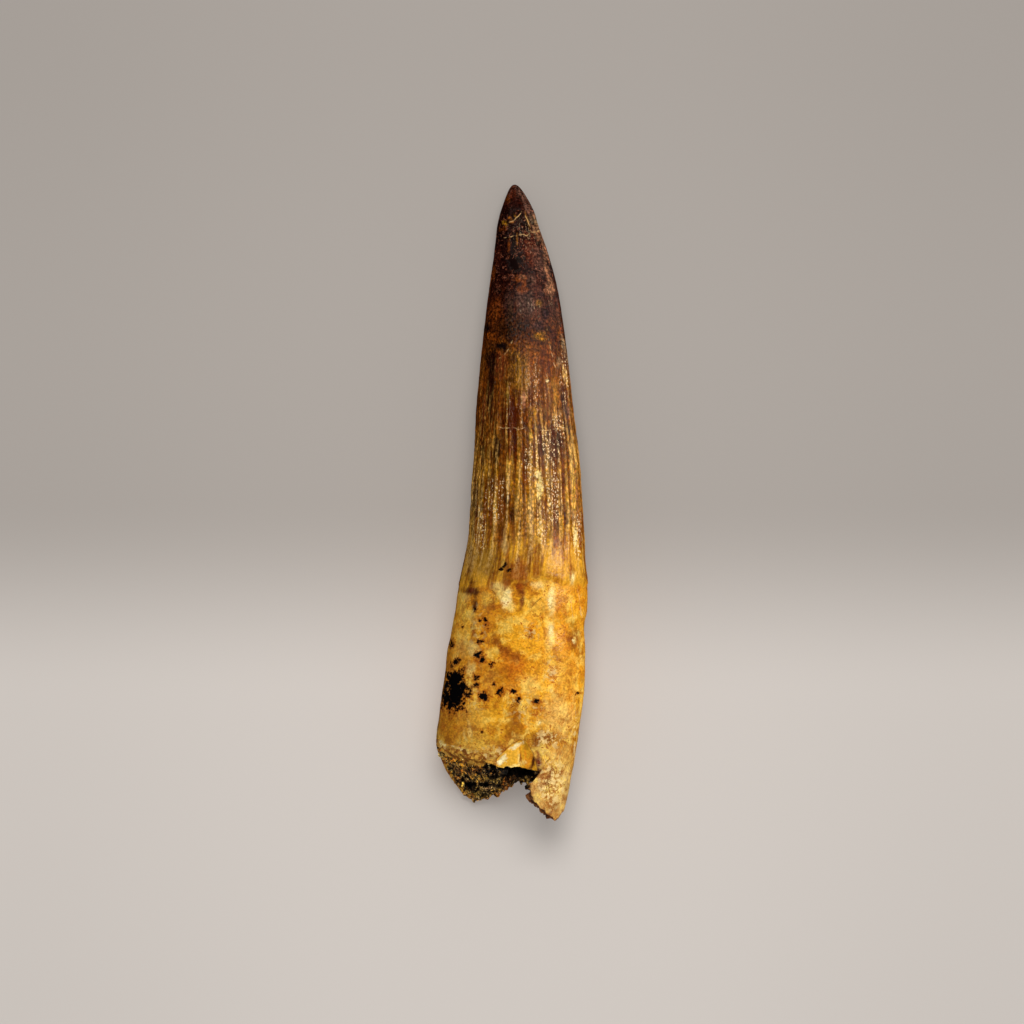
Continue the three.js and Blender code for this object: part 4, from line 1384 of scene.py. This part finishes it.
olive_glaze = paint.blend(1.0, (0.76, 0.59, 0.34), "MULTIPLY")
brown_glaze = paint.blend(1.0, (0.46, 0.24, 0.08), "MULTIPLY")
cream_wash = paint.blend(0.6, linear("#f4d064"))
colour = paint.blend(clouds.step(0.56, 0.40, 0.0, 0.7), olive_glaze)
cream_share = mottle.step(0.49, 0.61) * clouds.step(0.40, 0.56, 0.25, 0.85)
colour = colour.blend(cream_share * (1.0 - fossil.painted("broken")), cream_wash)
colour = colour.blend(mottle.step(0.44, 0.38, 0.0, 0.55), brown_glaze)
vein_noise = bent_place.noise(330, 4.0, 0.6)
veins = vein_noise.threads(0.026, 0.004) * clouds.step(0.56, 0.46) * 0.45
wrinkle_noise = object_place.bent(700, 1.0 * MM).noise(760, 3.0, 0.6)
wrinkles = wrinkle_noise.threads(0.022, 0.006) * mottle.step(0.56, 0.46) * 0.45
dirt = mottle.step(0.56, 0.64) * clouds.step(0.50, 0.40, 0.0, 0.6)
specks = (curds + in_pits * 0.12).step(0.62, 0.67) * grain.step(0.44, 0.52) * 0.85
for share in (veins, wrinkles, dirt, specks):
    colour = colour.blend(share, brown_glaze)
pale_specks = (curds - in_pits * 0.07).step(0.43, 0.37) * in_pits * 0.8
colour = colour.blend(pale_specks, linear("#f4d490"))
root_colour = colour.lit((curds + grain).step(0.88, 1.12, 0.79, 1.13))
print("root mottled")

# %% [markdown]
# ## The crown's streaks
#
# On the crown the noise is stretched along the flutes. The valleys are darkened as painted shade, the
# ridges carry tan lines and pale tops, the pale tops partly a painted highlight, and small cells bead
# the enamel. Towards the root the enamel is smoother, so all of this fades there. The tip has fine
# grain instead, and squiggles of paler enamel between black ones.

# %% Streak the crown
along_tooth = skin_place.part("Y")
past_tip = along_tooth.step(14.0, 32.0)
mid_crown = along_tooth.step(26.0, 52.0, 0.08, 1.0)
smoother = along_tooth.step(67.0, 58.0, 0.25, 1.0)
in_flute_shade = fossil.painted("flute_shade")
wide_streaks = skin_place.squeezed(0.10).noise(0.8, 4.0, 0.62)
fine_streaks = skin_place.squeezed(0.16).noise(2.4, 4.0, 0.65)
speckle = skin_place.squeezed(0.42).noise(3.8, 3.0, 0.7)
lines = skin_place.squeezed(0.045).noise(2.4, 4.0, 0.7)

dark_glaze = paint.blend(1.0, (0.32, 0.12, 0.05), "MULTIPLY")
tan_wash = paint.blend(0.6, linear("#dca850"))
dark_streaks = wide_streaks.step(0.50, 0.38) * along_tooth.step(24.0, 46.0, 0.4, 0.8)
colour = paint.blend(dark_streaks, dark_glaze)
for pale in (fine_streaks.step(0.52, 0.68, 0.0, 0.6), lines.step(0.53, 0.59)):
    colour = colour.blend(pale * mid_crown * past_tip * smoother, tan_wash)
dark_lines = lines.step(0.46, 0.40) * along_tooth.step(30.0, 48.0, 0.3, 0.85) * smoother
# The dark lines and mottle are colour; the darkened flute valleys are painted shade.
for dark in (dark_lines, in_flute_shade.step(0.50, 0.8) * 0.8, mottle.step(0.46, 0.38, 0.0, 0.5)):
    colour = colour.blend(dark, dark_glaze)
# Pale ridge tops on the lower crown: partly the enamel's colour, partly a painted highlight along the
# crests.
ridge_highlight = in_flute_shade.step(0.40, 0.10) * along_tooth.step(42.0, 56.0) * along_tooth.step(71.0, 64.0)
ridge_highlight = ridge_highlight * wide_streaks.step(0.44, 0.54) * 0.45 * speckle.step(0.40, 0.52)
colour = colour.blend(ridge_highlight, linear("#e2bc78"))

# %% Make the tip grainy and bead the enamel
near_tip = along_tooth.step(3.0, 6.0) * along_tooth.step(24.0, 14.0)
squiggle_noise = object_place.bent(1100, 1.1 * MM).noise(900, 2.0)
squiggles = squiggle_noise.threads(0.024, 0.006) * near_tip * curds.step(0.46, 0.56) * 0.8
colour = colour.blend(squiggles, linear("#9c5c42"))
tip_share = along_tooth.step(36.0, 26.0)
colour = colour.blend(curds.step(0.50, 0.42) * tip_share * 0.6, linear("#1c0a08"))
colour = colour.blend(tip_share, colour.lit(grain.step(0.36, 0.64, 0.35, 1.65)))

bead_place = skin_place.squeezed(0.62).bent(1.2, 0.25)
from_bead = bead_place.cells(2.9)
bead_dice = bead_place.cell_dice(2.9)
beaded = along_tooth.step(14.0, 26.0) * smoother
# Each bead is lighter or darker at random, and is painted lighter in its middle than at its edge: painted
# shade of a tiny dome.
bead_light = bead_dice.step(0.1, 0.9, 0.72, 1.5) * from_bead.step(0.62, 0.20, 0.72, 1.2)
colour = colour.lit((bead_light - 1.0) * beaded + 1.0)
speckled = colour.lit(speckle.step(0.37, 0.63, 0.74, 1.24))
crown_colour = colour.blend(smoother.step(0.0, 1.0, 0.5, 1.0), speckled)
colour = root_colour.blend(crown, crown_colour)
print("crown streaked")

# %% [markdown]
# ## Crisp marks and gloss
#
# Now the stored hills are cut at a noisy level. The painted glints on the enamel's ridges, the flake
# scar, chips and stains come first, then the fine lines, and the crumbled rim and the broken faces
# last. A stain on the root has a brown halo. Mineral-filled enamel shines, a little less low on the
# crown, the root has a soft sheen, and a break is dull and gritty. The last grain is a bump, because it
# is finer than any mesh could be.

# %% Add glints, scar, chips and stains
jag = object_place.noise(2600, 4.0, 0.7) - 0.5
coarse_jag = object_place.noise(900, 4.0, 0.65) - 0.5

# Pale flecks in rows along the ridges, with darker gaps between them, paint the enamel's glints: a
# painted highlight.
glint_region = fossil.painted("painted_glints")
in_glint_region = glint_region.step(0.05, 0.3)
glint_level = bead_dice * 0.12 + glint_region * 0.14 + lines
glint_share = glint_level.step(0.61, 0.67) * in_glint_region * skin_place.squeezed(0.6).cells(4.3).step(0.48, 0.22)
colour = colour.blend(glint_level.step(0.66, 0.58) * in_glint_region * 0.6, dark_glaze)
colour = colour.blend(glint_share * 0.95, linear("#f8deae"))

scar_edge = fossil.painted("scar side") + jag * 0.35
scar = scar_edge.step(-0.03, 0.07)
scar_shadow = scar_edge.step(-0.30, -0.04) * (1.0 - scar) * 0.55
scar_colour = fossil.painted("scar tone", "Color").lit(grain.step(0.40, 0.60, 0.85, 1.12))
colour = colour.blend(scar_shadow, brown_glaze).blend(scar, scar_colour)

chip_share = (fossil.painted("chip") + jag * 1.8).step(0.60, 0.80)
colour = colour.blend(chip_share * 0.85, linear("#f4dc98"))

stain_hill = fossil.painted("stain") + (jag + coarse_jag * 2.0)
stain_share = stain_hill.step(0.52, 0.70)
stain_colour = fossil.mix(root, linear("#120605"), linear("#060506"))
halo = stain_hill.step(0.26, 0.54) * root * 0.8
colour = colour.blend(halo, brown_glaze).blend(stain_share, stain_colour)


# %% Add the fine lines and the broken faces
def line_share(name, half_width):
    away = abs(fossil.painted(name + " side") + jag * 0.4)
    line = away.step(half_width * 0.4, half_width * 1.8, 1.0, 0.0)
    return line * fossil.painted(name + " near")


pale_line = line_share("pale", 0.07)
dark_line = line_share("dark", 0.08)
colour = colour.blend(pale_line * 0.7, linear("#e0b478"))
colour = colour.blend(dark_line * 0.5, linear("#7a4208"))

crumbly = fossil.painted("crumbled")
crumble = (crumbly + jag * 1.2 + coarse_jag).step(0.42, 0.54) * crumbly.step(0.02, 0.1)
pressed_sand = fossil.mix(coarse_jag.step(-0.05, 0.08), linear("#8a4e10"), linear("#d8a03c"))
colour = colour.blend(crumble, pressed_sand)
broken_share = fossil.painted("broken").at_least(crumble * 0.4) * (1.0 - stain_share)
grit = colour.blend(curds.step(0.52, 0.44, 0.0, 0.75), (0.024, 0.008, 0.004))
grit = grit.blend(grain.step(0.56, 0.64, 0.0, 0.6), linear("#9c6c38"))
colour = colour.blend(broken_share, grit)
print("marks cut")

# %% Gloss and fine grain
gloss = root * 0.18 + 0.13 + grain.step(0.4, 0.7) * 0.10 + smoother.step(1.0, 0.2) * crown * 0.14
dull = broken_share.at_least(stain_share * 0.9)
roughness = gloss.at_least(dull * 0.85)
specular = stain_share.step(0.0, 1.0, 0.25, 0.05)

height = (fine_streaks + lines) * crown * smoother + speckle * crown * smoother * 1.6
height = height - from_bead * beaded * crown * 0.8 + curds * 0.5
height = height + grain * root.step(0.0, 1.0, 0.2, 0.45)
for share, depth in ((pale_line, 0.4), (dark_line, 0.8), (chip_share, 0.4), (specks, 0.5)):
    height = height - share * depth
fossil.plug(fossil.shader, {"Base Color": colour, "Roughness": roughness,
                            "Specular IOR Level": specular, "Normal": height.bumped(0.13 * MM)})
tooth.data.materials.clear()
tooth.data.materials.append(fossil.material)
print("fossil finish has", len(fossil.tree.nodes), "nodes")

# %% [markdown]
# ## The cemented sand
#
# Sand fills the root's hollow and has set hard. Its face slopes from the upper rim down and out to
# the lower rim, crumbly all over, with an open pit beside the splinter. A grid is wrapped into a plug:
# its rows run from the middle of the face out to the wall and back along the wall into the tooth,
# where they meet in a point.

# %% Measure the sand's face
SAND_MIDDLE = 106.7
SAND_BELOW_TOP_RIM = -1.3
SAND_OVER_BOTTOM_RIM = -0.3
SAND_IN_SPLINTER = 102.4
SPLINTER_TURNS = (-38, 94)
SAND_BACK = 95.0
SAND_REACH = 111.4
SAND_FLOOR = 0.15
SAND_RELIEF = 0.6
WALL_END = 111.9
PLUG_SHARE_BELOW = 0.965
PLUG_SHARE_ABOVE = 0.88
PIT = {"x": 2.4, "z": 11.6, "half_width": 5.2, "half_height": 5.4, "depth": 7.0}
SAND_COLUMNS = 520
SAND_FACE_ROWS = 104
SAND_SIDE_ROWS = 34


def sand_at_wall(turn):
    signed = turn_between(turn, 0)
    low, high = SPLINTER_TURNS
    in_splinter = smoothstep(signed, low, low + 15) * (1 - smoothstep(signed, high - 12, high))
    below = smoothstep(-np.sin(np.radians(turn)), -0.15, 0.4)
    level = rim_from_tip(turn) + mix(-SAND_BELOW_TOP_RIM, SAND_OVER_BOTTOM_RIM, below)
    return mix(level, SAND_IN_SPLINTER, in_splinter)


# Without its sign, noise makes round clods with a sharp crease between them.
def crumbs(x, z):
    places = np.stack([x, 0 * x, 0.7 * z], -1)
    swell = soft_noise(places, 2.4, seed=20)
    clods = np.abs(soft_noise(places, 1.3, seed=21))
    bits = np.abs(soft_noise(places, 0.6, seed=22))
    height = 0.55 * swell + 1.5 * clods + 0.8 * bits - 0.5
    crease = np.maximum(1 - smoothstep(clods, 0.02, 0.13), 0.7 * (1 - smoothstep(bits, 0.02, 0.12)))
    return height, crease


# How far a place is from the pit's middle, where 1 is the pit's edge.
def from_pit(x, z):
    return np.hypot((x - PIT["x"]) / PIT["half_width"], (z - PIT["z"]) / PIT["half_height"])


def sand_face(x, z, turn, share):
    face = mix(SAND_MIDDLE, sand_at_wall(turn), share**1.6)
    return face + crumbs(x, z)[0] - PIT["depth"] * (1 - smoothstep(from_pit(x, z), 0.35, 1.1))


print("the pit is", PIT["depth"], "mm deep")

# %% Wrap the plug of sand
plug, column, row = grid_mesh(SAND_COLUMNS, SAND_FACE_ROWS + SAND_SIDE_ROWS + 1)
sand_turn = np.linspace(0, 360, SAND_COLUMNS + 1)[column]
on_face = np.clip(row / SAND_FACE_ROWS, 0, 1)
along_side = np.clip((row - SAND_FACE_ROWS) / SAND_SIDE_ROWS, 0, 1)
wall_reach = np.clip(sand_at_wall(sand_turn), LAST_WHOLE_SECTION, WALL_END)
wall = outside_point(sand_turn, wall_reach, SAND_RELIEF)
upper_side = smoothstep(np.sin(np.radians(sand_turn)), -0.1, 0.3)
plug_share = mix(PLUG_SHARE_BELOW, PLUG_SHARE_ABOVE, upper_side)
edge_share = plug_share * on_face
x = mix(AXIS_X, wall[:, 0], edge_share)
z = mix(AXIS_Z, wall[:, 2], edge_share)
face_at = sand_face(x, z, sand_turn, on_face)
depth_at = mix(face_at, SAND_BACK, along_side**1.5)
inner = outside_point(sand_turn, depth_at, SAND_RELIEF)
side_crumbs = 0.35 * soft_noise(np.stack([x, depth_at, z], -1), 0.8, seed=24)
side_share = plug_share - 0.12 * smoothstep(face_at - depth_at, 1.0, 4.0)
x = np.where(row > SAND_FACE_ROWS, mix(AXIS_X, inner[:, 0], side_share) + side_crumbs, x)
z = np.where(row > SAND_FACE_ROWS, mix(AXIS_Z, inner[:, 2], side_share) + side_crumbs, z)

at_back = row == SAND_FACE_ROWS + SAND_SIDE_ROWS + 1
at_middle = row == 0
x = np.where(at_back, AXIS_X, x)
z = np.where(at_back, AXIS_Z, z)
depth_at = np.where(at_back, SAND_BACK, depth_at)
depth_at[at_middle] = depth_at[at_middle].mean()
sand_shape = np.stack([x, -np.minimum(depth_at, SAND_REACH), np.maximum(z, SAND_FLOOR)], -1)

# The last column is the first one again, so that the seam closes.
first_column = np.flatnonzero(column == 0)
last_column = np.flatnonzero(column == SAND_COLUMNS)
first_column = first_column[np.argsort(row[first_column])]
last_column = last_column[np.argsort(row[last_column])]
sand_shape[last_column] = sand_shape[first_column]
move_vertices(plug, sand_shape)
close_mesh(plug)
sand = make_object("cemented_sand", plug)
sand_mesh = sand.data
print("sand: %d triangles, %d open edges" % tidy_mesh(sand_mesh, sharp_degrees=80))

# %% [markdown]
# ## Loose-looking grains
#
# On top of the crumbly face sit single grains of quartz and ironstone, half sunk in. Each is a ball of
# twenty faces, squashed and turned at random, which is enough for a thing under a millimetre across.
# Every twelfth grain is larger and sits deeper. The dark pit gets none.

# %% Set the grains
GRAINS = 1700
GRAIN_SIZES = (0.14, 0.40)
LARGE_EVERY = 12
LARGE_BY = 1.8
UPPER_SAND_END = 105.5
DARK_FROM_X = -2.0
DARK_END = 105.3

sand_points = read_vertices(sand_mesh)
sand_normals = read_vertices(sand_mesh, "normal")
sand_x = sand_points[:, 0]
sand_from_tip = -sand_points[:, 1]
sand_from_pit = from_pit(sand_x, sand_points[:, 2])
in_dark = (sand_x > DARK_FROM_X) & (sand_from_tip < DARK_END)
on_outside = (sand_from_tip > 99.0) & (sand_normals[:, 1] < -0.05)
candidates = np.flatnonzero(on_outside & (sand_from_pit > 0.95) & ~in_dark).tolist()
dice = random.Random(11)
grain_bed = bmesh.new()
grain_shade = []
grain_spot = []

# Grains near the upper rim stand a little proud of the sand, and the others are sunk in it.
for number in range(GRAINS):
    spot = dice.choice(candidates)
    size = dice.uniform(*GRAIN_SIZES) * dice.uniform(0.7, 1.0)
    proud = 0.2 if sand_from_tip[spot] < UPPER_SAND_END else -0.2
    if number % LARGE_EVERY == 0:
        size *= LARGE_BY
        proud = -0.3
    centre = sand_points[spot] + proud * size * sand_normals[spot]
    squash = Matrix.Diagonal([size * dice.uniform(0.7, 1.15) for _ in range(3)]).to_4x4()
    spin = Matrix.Rotation(dice.uniform(0, math.tau), 4, Vector([dice.gauss(0, 1) for _ in range(3)]))
    place = Matrix.Translation(centre) @ spin @ squash
    ball = bmesh.ops.create_icosphere(grain_bed, subdivisions=1, radius=1, matrix=place)
    grain_shade += [dice.random()] * len(ball["verts"])
    grain_spot += [spot] * len(ball["verts"])
grains = make_object("sand_grains", grain_bed)
grains_mesh = grains.data
grains_mesh.shade_smooth()
print(GRAINS, "grains,", len(grains_mesh.polygons), "faces")

# %% [markdown]
# ## Colour of the sand
#
# Near the wall the sand is stained golden brown by the root. The middle is olive and brown. The
# creases and low places between crumbs are painted nearly black, as painted shade, and soot marks
# paint the same shade into the holes and the gap under the flake scar. The whole pit is painted black.
# A grain takes part of its colour from the sand it sits in, painted shade included.

# %% Paint the sand
SAND_MARKS = [
    # The soot marks paint black into the sand's holes and into the gap under the flake scar: painted
    # shade.
    (-9.0, 101.2, 3.8, 1.8, 0, "gold", 0.7),
    (-7.0, 102.0, 3.4, 1.4, 0, "ochre", 0.7),
    (-10.6, 101.2, 0.9, 1.4, 0, "rust", 0.7),
    (-10.8, 103.5, 1.6, 2.2, 20, "khaki", 0.5),
    (-5.5, 105.0, 4.4, 1.3, 0, "khaki", 0.6),
    (-7.6, 106.2, 2.2, 0.9, 0, "soot", 1.0),
    (-8.8, 105.4, 0.9, 0.5, 0, "soot", 0.9),
    (-8.6, 106.2, 0.35, 0.55, 0, "straw", 1.0),
    (-3.6, 102.9, 1.9, 1.2, 0, "soot", 1.0),
    (-5.6, 104.0, 0.5, 0.4, 0, "soot", 0.9),
    (-3.4, 105.5, 0.35, 0.35, 0, "bone", 0.9),
    (-4.0, 106.6, 1.6, 0.5, 0, "grey tan", 0.5),
    (0.4, 106.1, 1.0, 0.7, 0, "ochre", 0.7),
    (-5.5, 107.8, 2.8, 0.9, 0, "khaki", 1.0),
    (-6.0, 108.6, 2.0, 0.4, 0, "grey tan", 0.5),
    (-4.4, 105.9, 1.6, 0.6, 4, "soot", 1.0),
    (-3.0, 104.4, 1.2, 0.6, 10, "soot", 0.9),
    (-9.6, 103.4, 0.7, 0.5, 0, "soot", 0.8),
    (-2.6, 106.2, 0.6, 0.35, 0, "soot", 0.8),
    (-6.4, 107.0, 1.0, 0.3, 0, "soot", 0.8),
    (1.6, 103.2, 4.6, 1.9, 0, "soot", 1.0),
    (-1.6, 102.6, 2.0, 0.9, 0, "soot", 0.95),
    (3.2, 105.4, 1.2, 0.9, 0, "soot", 0.7),
]
browner = smoothstep(soft_noise(sand_points, 1.8, seed=37), -0.3, 0.3)[:, None]
sand_tone = mix(linear("#a47c2c"), linear("#9c5814"), browner)
everywhere = np.ones(len(sand_points))
paint_marks(sand_tone, SAND_MARKS, sand_x, sand_from_tip, everywhere, shake(sand_points, 31))
in_pit = 1 - smoothstep(sand_from_pit, 0.6, 1.0)
sand_tone += in_pit[:, None] * (paints["soot"] - sand_tone) * 0.95
crumb_height, crease = crumbs(sand_x, sand_points[:, 2])
# Creases and low places between the crumbs are painted nearly black, less so near the upper rim: painted
# shade.
crevice_shade = np.maximum(crease, 1 - smoothstep(crumb_height, -0.45, 0.0))
near_rim = smoothstep(sand_from_tip, 103.2, 101.4) * smoothstep(sand_x, -3.0, -5.0)
sand_tone += (crevice_shade * (0.92 - 0.5 * near_rim))[:, None] * (paints["soot"] - sand_tone)
store_colours(sand_mesh, "tone", sand_tone)
shade = np.array(grain_shade)[:, None]
sand_below = sand_tone[grain_spot]
grain_tone = mix(paints["umber"], paints["ochre"], np.clip(shade * 1.6, 0, 1))
grain_tone = mix(grain_tone, paints["cream"], np.clip((shade - 0.84) * 9, 0, 1))
grain_tone = np.where(shade < 0.25, paints["soot"], grain_tone)
# A grain on sand painted dark, in a crease or the pit, takes more of that painted shade.
out_of_painted_shade = smoothstep(sand_below.mean(axis=1), 0.01, 0.06)[:, None]
grain_tone = mix(sand_below, grain_tone, 0.15 + 0.5 * out_of_painted_shade)
store_colours(grains_mesh, "tone", grain_tone)
print("sand painted")

# %% [markdown]
# ## The sand's finish
#
# Sandstone has no gloss, except that single grains glint. The paint is broken up twice by cells that
# are each lighter or darker at random: small ones for grains, and larger ones for clumps. Noise adds
# dark gaps and pale specks, and a rough grainy bump.

# %% Mix the sand's finish
sandstone = Recipe("cemented sand")
place = sandstone.object_place()
speckle = place.noise(2600, 2.0, 0.6)
crumb = place.noise(1100, 3.0, 0.6)
grain_place = place.bent(1500, 0.4 * MM)
colour = sandstone.painted("tone", "Color")
colour = colour.lit(grain_place.cell_dice(2700).step(0.1, 0.9, 0.3, 2.9))
# Each small grain is darker towards its edge: painted shade between the grains.
colour = colour.lit(grain_place.cells(2700).step(0.40, 0.70, 1.0, 0.3))
colour = colour.lit(grain_place.cell_dice(1350, "Green").step(0.15, 0.85, 0.45, 1.75))
dark = colour.blend(1.0, (0.10, 0.08, 0.06), "MULTIPLY")
pale = colour.blend(0.7, linear("#ecc47a"))
pale_share = speckle.step(0.56, 0.62) * colour.step(0.01, 0.08) * 0.9
colour = colour.blend(crumb.step(0.49, 0.43, 0.0, 0.95), dark).blend(pale_share, pale)
sandstone.plug(sandstone.shader, {"Base Color": colour, "Roughness": speckle.step(0.55, 0.75, 0.92, 0.45),
                                  "Normal": (speckle + crumb).bumped(0.2 * MM)})
for made in (sand, grains):
    made.data.materials.append(sandstone.material)
print("sand finish has", len(sandstone.tree.nodes), "nodes")

# %% [markdown]
# ## Into the frame
#
# The three meshes are still in millimetres. They are scaled to metres and slid so that the middle of
# the tooth lies where the solid model's middle is. Then each is tied to the frame: the tooth stands
# for the solid, and all three ride on the one body.

# %% Place the pieces
solid_low, solid_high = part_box("tooth")
shaped = read_vertices(tooth.data)
shaped_low = shaped.min(axis=0) * MM
shaped_high = shaped.max(axis=0) * MM
slide = (Vector(solid_low) + Vector(solid_high)) / 2 - (Vector(shaped_low) + Vector(shaped_high)) / 2
slide.z = Vector(solid_low).z - shaped_low[2]
for piece in (tooth, sand, grains):
    piece.data.transform(Matrix.Translation(slide) @ Matrix.Scale(MM, 4))
    piece.data.update()
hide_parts("tooth")
for piece in (tooth, sand, grains):
    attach(piece, "root")
print("slid by", [round(1000 * way, 2) for way in slide], "mm")

# %% [markdown]
# ## The table
#
# The table is a wide pale sheet of paper. Its colour is painted a little darker towards the tip and
# towards its sides: painted shade, like that on studio paper where it curves up and away from the
# lamps. It is only a stage, not part of the tooth.

# %% Lay the table
TABLE_SIDE = 6.0
sheet = bmesh.new()
bmesh.ops.create_grid(sheet, x_segments=1, y_segments=1, size=TABLE_SIDE / 2)
table = make_object("table", sheet)

paper = Recipe("pale paper")
paper_place = paper.object_place()
along_paper = paper_place.part("Y")
off_centre = abs(paper_place.part("X"))
# Darker towards the tip and towards the sides: painted shade on a flat sheet.
colour = paper.mix(along_paper.step(-0.035, 0.001), linear("#d0c9c3"), linear("#aaa39d"))
colour = colour.lit(off_centre.step(0.02, 0.09, 1.0, 0.94))
colour = colour.lit(along_paper.step(0.02, 0.09, 1.0, 0.93))
paper.plug(paper.shader, {"Base Color": colour, "Roughness": 0.9})
table.data.materials.append(paper.material)
table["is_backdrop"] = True

# Four of the lamps light the fossil alone, so that they throw no shadow on the paper. The paper has
# two lamps of its own, and it isn't mirrored in the dark enamel. The overhead panel lights both.
fossil_only = bpy.data.collections.new("lit by the fossil's lamps")
for piece in (tooth, sand, grains):
    fossil_only.objects.link(piece)
paper_only = bpy.data.collections.new("lit by the paper's lamps")
paper_only.objects.link(table)
for lamp, lit in ((key, fossil_only), (edge_lamp, fossil_only), (end_lamp, fossil_only),
                  (left_panel, fossil_only), (paper_lamp, paper_only), (paper_fill, paper_only)):
    lamp.light_linking.receiver_collection = lit
table.visible_glossy = False
print("table side", TABLE_SIDE, "m")

# %% [markdown]
# ## Compare the sizes and finish
#
# The box of the finished tooth should match the solid's box to within a fraction of a millimetre.

# %% Write the two boxes and finish
final_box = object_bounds()
for corner, solid in zip(final_box, cad_box):
    print("corner off by", [round(1000 * (a - b), 2) for a, b in zip(corner, solid)], "mm")
